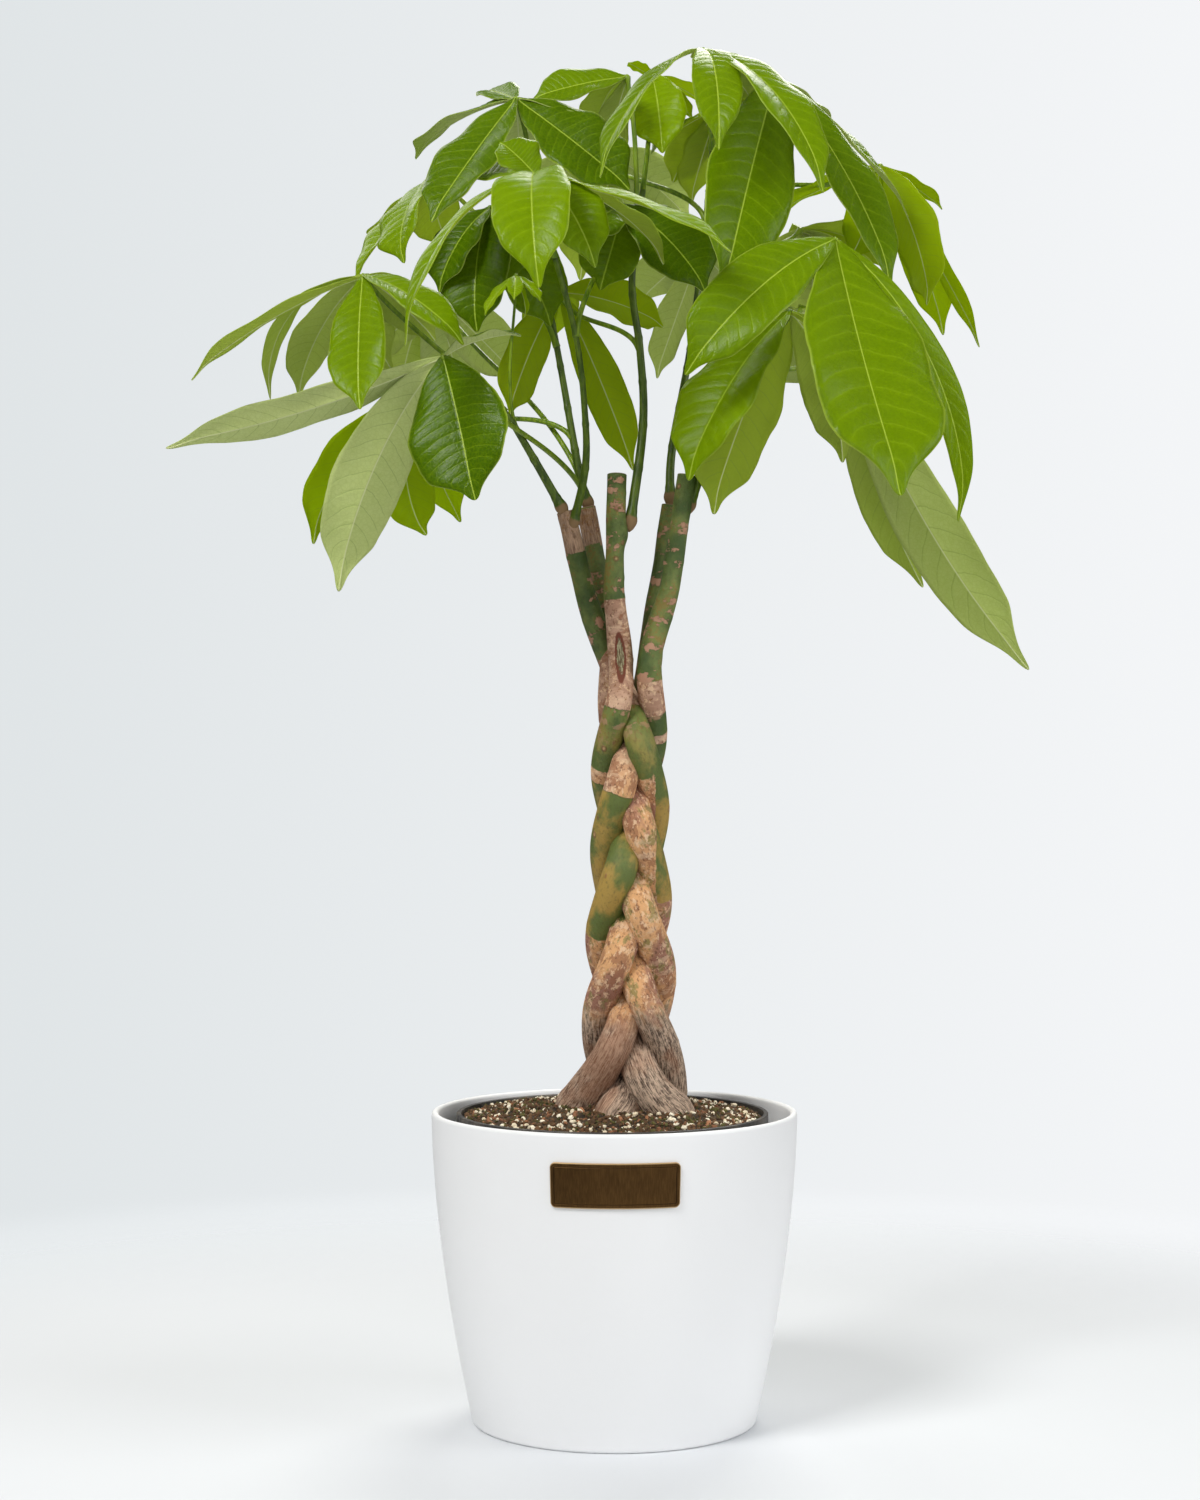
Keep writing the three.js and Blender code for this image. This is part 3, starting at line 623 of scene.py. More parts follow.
def random_turns(count):
    """Evenly spread rotation matrices, from unit quaternions."""
    q = rng.normal(size=(count, 4))
    w, x, y, z = (q / np.linalg.norm(q, axis=1, keepdims=True)).T
    rows = [
        [1 - 2 * (y * y + z * z), 2 * (x * y - w * z), 2 * (x * z + w * y)],
        [2 * (x * y + w * z), 1 - 2 * (x * x + z * z), 2 * (y * z - w * x)],
        [2 * (x * z - w * y), 2 * (y * z + w * x), 1 - 2 * (x * x + y * y)],
    ]
    return np.moveaxis(np.array(rows), -1, 0)


def grains(count, smallest, largest, squash, lifted, drift):
    """Grains strewn over the soil. Their radius runs from smallest to largest, with more small ones, and
    each point of a grain is pushed in or out a little so that no two look alike. Watering drifts them
    together: a smooth wave moves each by up to drift, more towards the middle, which leaves crowded and
    bare places."""
    reach = soil_reach(SOIL_EDGE_Z) - 1.5
    angle = rng.uniform(0, 2 * np.pi, count)
    share = rng.uniform(0.02, 1, count) ** 0.5
    x = POT_CENTRE_X + reach * share * np.cos(angle)
    y = reach * share * np.sin(angle)
    push = drift * (1 - share**4)
    x, y = x + push * np.sin(0.16 * x + 0.07 * y + 1), y + push * np.sin(0.19 * y - 0.08 * x + 2)
    size = smallest + (largest - smallest) * rng.uniform(0, 1, count) ** 2.2
    lumps = rng.uniform(0.7, 1.15, (count, len(ICO_POINTS), 1))
    local = ICO_POINTS * lumps * np.array([1, *squash]) * size[:, None, None]
    local = np.einsum("nij,nkj->nki", random_turns(count), local)
    middle = stacked(x, y, soil_height(x, y) + size * lifted)
    faces = ICO_FACES + np.arange(count)[:, None, None] * len(ICO_POINTS)
    shade = np.repeat(rng.uniform(0, 1, count), len(ICO_POINTS))
    return shape_of(local + middle[:, None], np.zeros((0, 4), int), faces.reshape(-1, 3), shade=shade)


def grain_finish(name, dark, light, grit_scale):
    """Each grain has its own shade between dark and light, and a gritty surface."""
    finish = Finish(name)
    grit = finish.noise(grit_scale, 4.0)
    shade = finish.blend(finish.value("shade") * 0.7 + grit * 0.5, dark, light)
    bump = finish.bump(grit, 0.6, 0.0006)
    return finish.done(finish.principled(Base_Color=shade, Roughness=0.9, Normal=bump))


for name, (*look, strewn) in GRAINS.items():
    make_piece(name, [grains(*strewn)], grain_finish(*look), smooth=False)


# %% [markdown]
# ## The bronze plate
# A small plate of dark bronze is fixed to the planter's front. It bends with the wall. Its face is bare
# but for a plain engraved border, its edge is rounded by rubbing, and its grain is brushed upright. The
# plate is a grid on the planter's outline, with its points crowded where the edge and the border are.

# %% Plate geometry
PLATE_WIDTH, PLATE_HEIGHT, PLATE_THICKNESS, PLATE_Z, PLATE_CORNER = 95, 33, 1.6, 200, 4
BORDER_INSET, BORDER_WIDTH, BORDER_DEPTH, EDGE_ROUND = 3.1, 0.45, 0.3, 0.7


def edge_dense(half, band, fine, coarse):
    """Places from -half to half, close together within a band at each end."""
    edge = np.linspace(half - band, half, fine)
    middle = np.linspace(band - half, half - band, coarse)[1:-1]
    return np.concatenate([-edge[::-1], middle, edge])


def inside_plate(x, z):
    """How far a point of the plate is from its outline, a rectangle with rounded corners."""
    past_x = np.abs(x) - (PLATE_WIDTH / 2 - PLATE_CORNER)
    past_z = np.abs(z) - (PLATE_HEIGHT / 2 - PLATE_CORNER)
    outside = np.hypot(np.maximum(past_x, 0), np.maximum(past_z, 0))
    return PLATE_CORNER - outside - np.minimum(np.maximum(past_x, past_z), 0)


def plate_shape():
    """Each column runs between the rounded corners, and the face is raised by the edge's rounding and
    lowered in the border's groove."""
    x = edge_dense(PLATE_WIDTH / 2, 4.6, 24, 22)[:, None]
    share = edge_dense(1, 0.28, 22, 12)[None, :]
    past = np.clip(np.abs(x) - (PLATE_WIDTH / 2 - PLATE_CORNER), 0, PLATE_CORNER) / PLATE_CORNER
    z = share * (PLATE_HEIGHT / 2 - PLATE_CORNER * (1 - np.sqrt(1 - past**2)))
    inside = inside_plate(x, z)
    rounding = EDGE_ROUND * (1 - np.sqrt(1 - (1 - np.clip(inside / EDGE_ROUND, 0, 1)) ** 2))
    groove = BORDER_DEPTH * np.exp(-(((inside - BORDER_INSET) / BORDER_WIDTH) ** 2) * 2)

    def on_planter(lift):
        """Bends the flat plate round the planter's outline: a way across becomes an angle."""
        radius = planter_radius(PLATE_Z + z) + REST_GAP + lift
        angle = x / planter_radius(PLATE_Z)
        return stacked(radius * np.sin(angle), -radius * np.cos(angle), PLATE_Z + z)

    return slab(on_planter(PLATE_THICKNESS - rounding - groove), on_planter(0.0), inside=(inside, 0.0))


def brushed_bronze():
    """Dark metal with an upright grain, a dull groove and a paler edge, partly rubbed wear and partly a
    painted highlight where the rounded edge catches light.
    """
    finish = Finish("brushed_bronze")
    grain = finish.noise(1.0, 3.0, 0.6, finish.stretched(1800, 1800, 25))
    inside = finish.value("inside")
    groove = 1 - finish.math("ABSOLUTE", inside - BORDER_INSET).soft_step(0.15, 0.55)
    # The pale rim is partly rubbed wear and partly a painted highlight on the rounded edge.
    rubbed_edge_and_highlight = 1 - inside.soft_step(0.3, 1.2)
    shade = finish.coats(
        finish.blend(finish.noise(38.0, 3.0), (70, 50, 28), (96, 70, 40)),
        (grain.soft_step(0.42, 0.62) * 0.35, (118, 88, 52)),
        (groove * 0.75, (40, 27, 15)),
        (rubbed_edge_and_highlight * 0.8, (206, 172, 122)),
    )
    shader = finish.principled(
        Base_Color=shade,
        Metallic=1 - rubbed_edge_and_highlight * 0.6,
        Roughness=grain.soft_step(0.3, 0.7, 0.34, 0.5),
        Normal=finish.bump(grain, 0.25, 0.0003),
    )
    return finish.done(shader)


make_piece("bronze_plate", [plate_shape()], brushed_bronze(), "brass_plate")


# %% [markdown]
# ## The braided trunks
# Five saplings were plaited while they were soft. In plan a strand runs a figure of eight: it passes in
# front while it moves to the middle and goes behind on its way out. Above the braid each trunk stands
# free and ends in a sawn top. Each one is a ring of points carried along its middle line. The ring's
# radius carries the relief: leaf scars as low rings, slow lumps, and ridges that grow towards the roots.

# %% A trunk's middle line
ROOT_Z, SOIL_LINE_Z, OPEN_Z, FREE_Z = 195, 238, 520, 640
TOP_RADIUS, BRAID_SWELL, ROOT_FLARE = 7.2, 5.2, 5
JUMP, FIRST_JUMP_Z, AXIS_X = 32.3, 290, 12
BRAID_HALF_WIDTH, BRAID_NARROW_WIDTH, BRAID_HALF_DEPTH = 20.5, 16.5, 24
# For each trunk: the middle of its top, its throat, where it comes out of the braid, how many jumps its
# strand is behind, and the heights between which its green skin has turned into tan or pink bark.
TRUNKS = {
    "trunk_centre": ([617, 475, -10], [612, 655, -24], 4, [(545, 628), (492, 502)]),
    "trunk_left": ([566, 512, -6], [601, 660, 2], 3, [(664, 700), (540, 580)]),
    "trunk_back_left": ([586, 508, 20], [612, 640, 22], 1, [(672, 700), (520, 600)]),
    "trunk_right": ([687, 476, -8], [657, 670, -14], 0, [(543, 567), (523, 529)]),
    "trunk_back_right": ([671, 506, 22], [645, 680, 18], 2, [(480, 560)]),
}


def fade(value, start, reach):
    """1 up to the start, then dying away exponentially: down to a third at one reach beyond it."""
    return np.exp(-np.maximum(0, value - start) / reach)


def bell(offset, width):
    """A smooth bump, 1 where the offset is 0 and down to a third at one width from there."""
    return np.exp(-((offset / width) ** 2))


def trunk_radius(z):
    """Thin at the top, thicker in the braid, and with a flare that dies away above the soil."""
    return TOP_RADIUS + BRAID_SWELL * (1 - smoothstep(420, 700, z)) + ROOT_FLARE * fade(z, SOIL_LINE_Z, 26)


def braid_line(behind, z):
    """Sine across and double sine in depth, at a phase that moves on with height. Five strands and two
    sides make ten jumps to a full turn. Near the soil the strands splay."""
    held = np.maximum(z, SOIL_LINE_Z - 4)
    turn = (held - FIRST_JUMP_Z) / (10 * JUMP) - behind / 10
    phase = 2 * np.pi * (turn + (1 if behind % 2 else 0.5))
    width = BRAID_HALF_WIDTH + (BRAID_NARROW_WIDTH - BRAID_HALF_WIDTH) * smoothstep(330, 450, held)
    splay = 1 + 0.75 * fade(held, SOIL_LINE_Z, 30)
    x = AXIS_X + width * splay * (np.sin(phase) - 0.1 * np.sin(3 * phase))
    y = BRAID_HALF_DEPTH * np.sqrt(splay) * (np.sin(2 * phase) + 0.18 * np.sin(4 * phase))
    return stacked(x, y)


def trunk_line(top, throat, behind, z):
    """The braid low down, a straight line from throat to top high up, and a soft change between."""
    share = ((z - throat[2]) / (top[2] - throat[2]))[:, None]
    straight = throat[:2] + (top[:2] - throat[:2]) * share
    loose = smoothstep(OPEN_Z, FREE_Z, z)[:, None]
    place = braid_line(behind, z) * (1 - loose) + straight * loose
    return np.concatenate([place, z[:, None]], axis=-1)


full_turn = braid_line(0, np.linspace(FIRST_JUMP_Z, FIRST_JUMP_Z + 10 * JUMP, 200))
print("a strand moves over", np.ptp(full_turn, axis=0).round(1), "mm across and in depth")


# %% [markdown]
# A ring needs two directions square to the middle line. The first is made square to a fixed direction
# that the line never follows, so the rings don't twist, and the second is square to both.

# %% Carrying rings along a line
def unit(vectors):
    """Vectors of the same directions, one long."""
    return vectors / np.linalg.norm(vectors, axis=-1, keepdims=True)


def rings_along(line, radius, sides, square_to=(0, 1, 0)):
    """Rings of points round a line (rows, 3). radius may differ for every point (rows, sides)."""
    along = unit(np.gradient(line, axis=0))
    first = unit(np.cross(np.broadcast_to(square_to, along.shape), along))
    second = np.cross(along, first)
    angle = ring_angles(sides)
    outward = first[:, None] * np.cos(angle)[:, None] + second[:, None] * np.sin(angle)[:, None]
    return line[:, None] + outward * np.broadcast_to(radius, (len(line), sides))[..., None]


upright = np.array([[0, 0, 0], [0, 0, 1]])
print("a ring of four, 10 mm round an upright line:", rings_along(upright, 10, 4)[0].round().tolist())


# %% [markdown]
# A young trunk is never a plain rod. Old leaves left low rings on it, its foot swells into roots, and the
# middle trunk has a healed wound and a branch collar. Five smaller rings close the sawn top. The same cell
# works out where the skin is still green, because that goes into the mesh as a value of each point.

# %% Trunk relief and where each bark shows
TRUNK_SIDES, TRUNK_ROW, FIBRE_TOP_Z, SCAR_SPACING, SCAR_HALF_HEIGHT = 48, 1.7, 318, 31, 2.2
# The middle trunk has a healed wound in front and a swollen branch collar on its right side.
WOUNDED = "trunk_centre"
WOUND_Z, WOUND_HALF_WIDTH, WOUND_HALF_HEIGHT, WOUND_DEPTH = 582, 4.6, 25, 0.9
COLLAR_Z, COLLAR_HALF_HEIGHT, COLLAR_SWELL = 677, 8, 2.6
# Rings of a sawn top from its rim inwards: their share of the radius, their height above the cut, and
# their share of the radius in the bark's pattern, which runs on over the rim.
SAWN_SHARE = np.array([0.97, 0.9, 0.86, 0.5, 0.2])
SAWN_HEIGHT = np.array([0.5, 0.7, 0.2, 0.1, 0.4])
SAWN_PATTERN = np.array([1, 0.9, 0.86, 0.5, 0.2])
# The patterns of two trunks never meet: in the pattern each one starts this many mm above the last.
PATTERN_STEP = 600


def scar_rings(z, seed):
    """Low swellings where leaves once stood: narrow bumps at heights a little unevenly spaced."""
    draw = np.random.default_rng(seed)
    heights = np.arange(250, 740, SCAR_SPACING)
    heights = heights + draw.uniform(-0.3, 0.3, len(heights)) * SCAR_SPACING
    strength = draw.uniform(0.3, 1, len(heights))
    return (strength * bell(z - heights, SCAR_HALF_HEIGHT)).sum(1, keepdims=True)


def trunk_relief(z, angle, seed):
    """Millimetres to add to the radius at heights z and angles round the trunk."""
    lumps = 0.35 * np.sin(z * 0.055 + seed) * np.cos(angle * 2 + seed)
    lumps = lumps + 0.22 * np.sin(z * 0.13 + 2 * seed + 3 * np.sin(angle))
    rings = 0.45 * scar_rings(z, round(seed * 10)) * (0.6 + 0.4 * np.cos(angle - seed))
    ridges = np.sin(angle * 9 + 0.05 * z + seed) + 0.7 * np.sin(angle * 14 - 0.08 * z)
    fibrous = 1 - smoothstep(240, FIBRE_TOP_Z, z)
    roots = 1.1 * np.cos(angle * 3 + seed) * fade(z, SOIL_LINE_Z, 16)
    return lumps + rings + 0.22 * ridges * fibrous + roots


def wound_and_collar(z, angle, radius):
    """How far inside the wound's oval each point is, and how far the collar swells there."""
    oval = np.hypot(radius * np.cos(angle) / WOUND_HALF_WIDTH, (z - WOUND_Z) / WOUND_HALF_HEIGHT)
    wound = np.where(np.sin(angle) < 0, np.maximum(0, 1 - oval), 0)
    side = np.maximum(0, np.cos(angle)) ** 2
    return wound, COLLAR_SWELL * bell(z - COLLAR_Z, COLLAR_HALF_HEIGHT) * side


def green_share(barked, z, middle_x, x):
    """How much green skin there is. In the braid it starts on strands at the left, a little higher it is
    on whatever is far out on the right, and above the braid it is everywhere but where it has barked."""
    left = 1 - smoothstep(AXIS_X - 8, AXIS_X + 6, middle_x)
    right = smoothstep(AXIS_X + 14, AXIS_X + 24, x)
    green = np.maximum(smoothstep(362, 385, z) * np.maximum(left, 0.15), smoothstep(478, 520, z))
    green = np.maximum(green, 0.85 * right * smoothstep(385, 415, z))
    turned_tan = sum(smoothstep(a - 5, a + 5, z) * (1 - smoothstep(b - 5, b + 5, z)) for a, b in barked)
    return green * (1 - np.clip(turned_tan, 0, 1))


def trunk_shape(name, index):
    """The bark's rings, then a rim and a flat sawn top drawn in towards its middle."""
    top, throat, behind, barked = TRUNKS[name]
    top, throat = seen(top), seen(throat)
    heights = np.linspace(ROOT_Z, top[2], round((top[2] - ROOT_Z) / TRUNK_ROW))
    line = trunk_line(top, throat, behind, heights)
    z, radius, angle = heights[:, None], trunk_radius(heights)[:, None], ring_angles(TRUNK_SIDES)[None, :]
    relief = trunk_relief(z, angle, index * 1.7)
    wound = np.zeros(relief.shape)
    if name == WOUNDED:
        wound, collar = wound_and_collar(z, angle, radius)
        relief = relief + collar - WOUND_DEPTH * smoothstep(0.1, 0.5, wound)
    rings = rings_along(line, radius + relief, TRUNK_SIDES)
    face = line[-1] + (rings[-1] - line[-1]) * SAWN_SHARE[:, None, None]
    face[..., 2] += SAWN_HEIGHT[:, None]
    bare = np.zeros((len(face), TRUNK_SIDES))
    green = green_share(barked, z, line[:, :1], rings[..., 0])
    pattern_z = np.concatenate([heights, np.full(len(face), top[2])]) + PATTERN_STEP * index
    pattern_radius = np.concatenate([radius, trunk_radius(top[2]) * SAWN_PATTERN[:, None]])
    return tube(
        np.concatenate([rings, face]),
        green=np.concatenate([green, bare]),
        cut=(np.arange(len(pattern_z)) - len(z) >= 2)[:, None] * 1.0,
        gash=np.concatenate([wound, bare]),
        run_x=pattern_radius * np.cos(angle) * MM,
        run_y=pattern_radius * np.sin(angle) * MM,
        run_z=pattern_z[:, None] * MM,
    )


print("rows in a trunk of 550 mm:", round(550 / TRUNK_ROW))


# %% [markdown]
# The bark changes along the trunk. High up it is still green skin with pink scars, in the braid it is
# olive and tan with round breathing pores, and near the roots it is grey-brown and thready. Patterns must
# follow the strands, so each point also keeps its place in the straightened trunk, and noise reads that.

# %% Bark
def bark():
    """Each bark is a colour with coats over it. The barks lie over each other by height and by the green
    share, and scars, pores, the wound and the sawn top come last. Heights here are in metres."""
    finish = Finish("bark")
    parts = {"X": finish.value("run_x"), "Y": finish.value("run_y"), "Z": finish.value("run_z")}
    run = finish.node("ShaderNodeCombineXYZ", None, parts)
    height = finish.node("ShaderNodeSeparateXYZ", None, {0: finish.place}, output="Z")
    broad = finish.noise(34.0, 5.0, 0.6, run)
    patches = finish.noise(75.0, 6.0, 0.65, run)
    chips = finish.noise(260.0, 6.0, 0.7, run)
    fine = finish.noise(420.0, 5.0, 0.7, run)
    threads = finish.noise(900.0, 5.0, 0.75, finish.stretched(1, 1, 0.14, run))
    rings = finish.noise(150.0, 4.0, 0.6, finish.stretched(0.25, 0.25, 1, run))
    pores = finish.cells(62.0, place=run)
    pore = 1 - pores.soft_step(0.12, 0.16)
    pore_heart = 1 - pores.soft_step(0.05, 0.08)

    mossy = finish.blend(broad.soft_step(0.42, 0.58), (92, 106, 44), (166, 136, 62))
    skin = finish.coats(
        finish.blend(broad.soft_step(0.35, 0.65), (64, 86, 32), (116, 128, 60)),
        (height.soft_step(0.47, 0.55, 1, 0), mossy),
        (fine.soft_step(0.53, 0.64) * 0.4, (74, 72, 36)),
    )
    pink = finish.blend(rings.soft_step(0.42, 0.58), (170, 130, 106), (196, 158, 132))
    tan = finish.coats(
        finish.blend(broad.soft_step(0.44, 0.6), (208, 158, 108), (156, 110, 90)),
        (patches.soft_step(0.4, 0.45, 0.75, 0), (128, 122, 66)),
        (height.soft_step(0.47, 0.53), pink),
        (patches.soft_step(0.54, 0.57) * 0.7, (146, 96, 66)),
        (rings.soft_step(0.58, 0.66) * 0.5, (214, 182, 150)),
        (fine.soft_step(0.54, 0.62) * 0.65, (96, 60, 40)),
        (chips.soft_step(0.55, 0.58) * 0.75, (222, 188, 152)),
    )
    ruddy = (finish.value("run_z") * 3.0).distance_to_whole() * 0.5 + broad
    woody = finish.coats(
        finish.blend((threads * 0.7 + fine * 0.3).soft_step(0.41, 0.57), (86, 66, 54), (222, 194, 168)),
        (ruddy.soft_step(0.55, 0.8) * 0.6, (172, 118, 84)),
    )
    flakes = finish.blend(threads.soft_step(0.32, 0.6), (104, 76, 58), (184, 150, 124))
    gash = finish.value("gash") * (patches * 2.4 + fine * 1.6 - 1.0)
    healed = finish.blend(threads.soft_step(0.42, 0.6), (96, 78, 52), (172, 166, 130))
    wound = finish.blend(gash.soft_step(0.3, 0.42), (112, 58, 40), healed)

    green = (finish.value("green") + (patches - 0.5) * 0.7 + (rings - 0.5) * 0.3).soft_step(0.44, 0.52)
    fibre = (height + (patches - 0.5) * 0.06).soft_step(0.296, 0.322, 1, 0)
    rust = (broad * 0.6 + fine * 0.4).soft_step(0.53, 0.59) * height.soft_step(0.5, 0.54) * 0.5
    scars = (patches * 0.6 + rings * 0.4).soft_step(0.55, 0.57) * green * height.soft_step(0.5, 0.56)
    shade = finish.coats(
        tan,
        (fibre, woody),
        (height.soft_step(0.655, 0.66), flakes),
        (green, skin),
        (rust, (146, 98, 40)),
        (scars, (178, 134, 106)),
        (pore * (1 - fibre) * 0.55, (134, 84, 58)),
        (pore_heart * (1 - fibre) * 0.7, (196, 160, 112)),
        (gash.soft_step(0.02, 0.12), wound),
        (finish.value("cut"), (84, 66, 44)),
    )
    relief = patches * 0.5 + fine * 0.4 + chips * 0.3 + pore * 0.3 + (1 - green) * 0.35 + scars * 0.3
    shader = finish.principled(
        Base_Color=shade,
        Roughness=(1 - green * 0.35) * 0.78 + fine * 0.08,
        Normal=finish.bump(relief * (1 - fibre) + threads * fibre * 1.4, 1.0, 0.002),
    )
    return finish.done(shader)


bark_finish = bark()
for index, name in enumerate(TRUNKS):
    make_piece(name + "_bark", [trunk_shape(name, index)], bark_finish, name)


# %% [markdown]
# ## Green shoots
# From the side of each sawn trunk grew one or two new shoots, pencil-thin and still green. A Catmull-Rom
# curve runs smoothly through every point it is given, which suits a stem that was measured at a few
# places. Where a shoot leaves the trunk it has a swollen, corky collar.

# %% Shoot curves
SHOOT_ROWS, SHOOT_SIDES, JOINT_SPACING = 150, 20, 34
# For each shoot: the radius at its foot and the places that it grows through.
SHOOTS = {
    "shoot_left": (3.5, [[567, 517, -8], [538, 466, -20], [512, 422, -30], [505, 412, -32]]),
    "shoot_front": (
        3.2, [[571, 533, -8], [585, 470, -20], [585, 415, -32], [576, 337, -48], [553, 250, -66]],
    ),
    "shoot_back_left": (3.6, [[591, 513, 20], [579, 471, 22], [560, 364, 34], [540, 260, 48]]),
    "shoot_centre": (
        3.7, [[629, 532, -12], [643, 425, 2], [640, 350, 6], [632, 280, 10], [643, 190, 20]],
    ),
    "shoot_back_right": (
        3.5, [[670, 508, 24], [672, 450, 36], [690, 350, 60], [704, 240, 70], [712, 150, 60]],
    ),
    "shoot_right": (3.2, [[686, 516, -6], [714, 440, -10], [738, 375, -20], [760, 305, -30]]),
}


def catmull_rom(path, share):
    """Points and directions at shares of a path. Each span is a cubic whose end directions are half the
    way between the neighbouring points, and the path is extended in a straight line at both ends."""
    path = np.concatenate([[2 * path[0] - path[1]], path, [2 * path[-1] - path[-2]]])
    place = np.atleast_1d(share) * (len(path) - 3)
    span = np.minimum(place.astype(int), len(path) - 4)
    t = (place - span)[:, None]
    p0, p1, p2, p3 = (path[span + k] for k in range(4))
    pull_1, pull_2 = (p2 - p0) / 2, (p3 - p1) / 2
    a = 2 * p1 - 2 * p2 + pull_1 + pull_2
    b = -3 * p1 + 3 * p2 - 2 * pull_1 - pull_2
    points = a * t**3 + b * t**2 + pull_1 * t + p1
    return points, unit(3 * a * t**2 + 2 * b * t + pull_1)


def shoot_shape(name):
    """A tapering tube with a rounded heel, a collar at its foot and faint joints along it."""
    radius, path = SHOOTS[name]
    share = np.linspace(0, 1, SHOOT_ROWS)
    line, _ = catmull_rom(seen(path), share)
    length = np.concatenate([[0], np.cumsum(np.linalg.norm(np.diff(line, axis=0), axis=1))])
    collar = 1.5 * bell(length - 9, 5)
    joints = 0.35 * bell(length % JOINT_SPACING - JOINT_SPACING / 2, 2)
    oval = 0.12 * np.cos(2 * ring_angles(SHOOT_SIDES) + length[:, None] * 0.03)
    heel = np.sqrt(1 - (1 - np.clip(length / 8, 0.01, 1)) ** 2)[:, None]
    thickness = (radius * (1 - 0.4 * share) + collar + joints)[:, None] + oval
    rings = rings_along(line, thickness * heel, SHOOT_SIDES)
    return tube(rings, foot=fade(length, 8, 5)[:, None], age=0.0)


def green_stem():
    """Fresh stem: green, streaked lengthwise, corky at the foot. age 1 is a leaf stalk, which is paler."""
    finish = Finish("green_stem")
    streak = finish.noise(260.0, 3.0, 0.6, finish.stretched(1, 1, 0.15))
    specks = finish.noise(900.0, 3.0)
    foot = (finish.value("foot") + (streak - 0.5) * 0.6).soft_step(0.4, 0.6)
    shade = finish.coats(
        finish.blend(streak.soft_step(0.3, 0.7), (50, 74, 4), (90, 112, 18)),
        (finish.value("age"), finish.blend(streak.soft_step(0.3, 0.7), (84, 116, 4), (130, 154, 24))),
        (specks.soft_step(0.62, 0.72) * 0.5, (152, 132, 84)),
        (foot, (134, 106, 72)),
    )
    shader = finish.principled(
        Base_Color=shade,
        Roughness=foot.soft_step(0, 1, 0.42, 0.8),
        Normal=finish.bump(streak + specks * 0.4, 0.4, 0.0004),
    )
    return finish.done(shader)


stem_finish = green_stem()
for name in SHOOTS:
    make_piece(name + "_stem", [shoot_shape(name)], stem_finish, name)


# %% [markdown]
# ## The leaves
# A money tree's leaf is a hand: a long thin stalk, and three to seven leaflets that spread from one point
# and droop. Leaves that show well get a finer grid than those behind them. The last leaves of the table
# stand at the back of the crown and only fill it out.

# %% Leaf table
# Rows and columns of a blade's grid.
BLADE_GRID = {"fine": (80, 19), "plain": (64, 15), "few": (46, 13)}
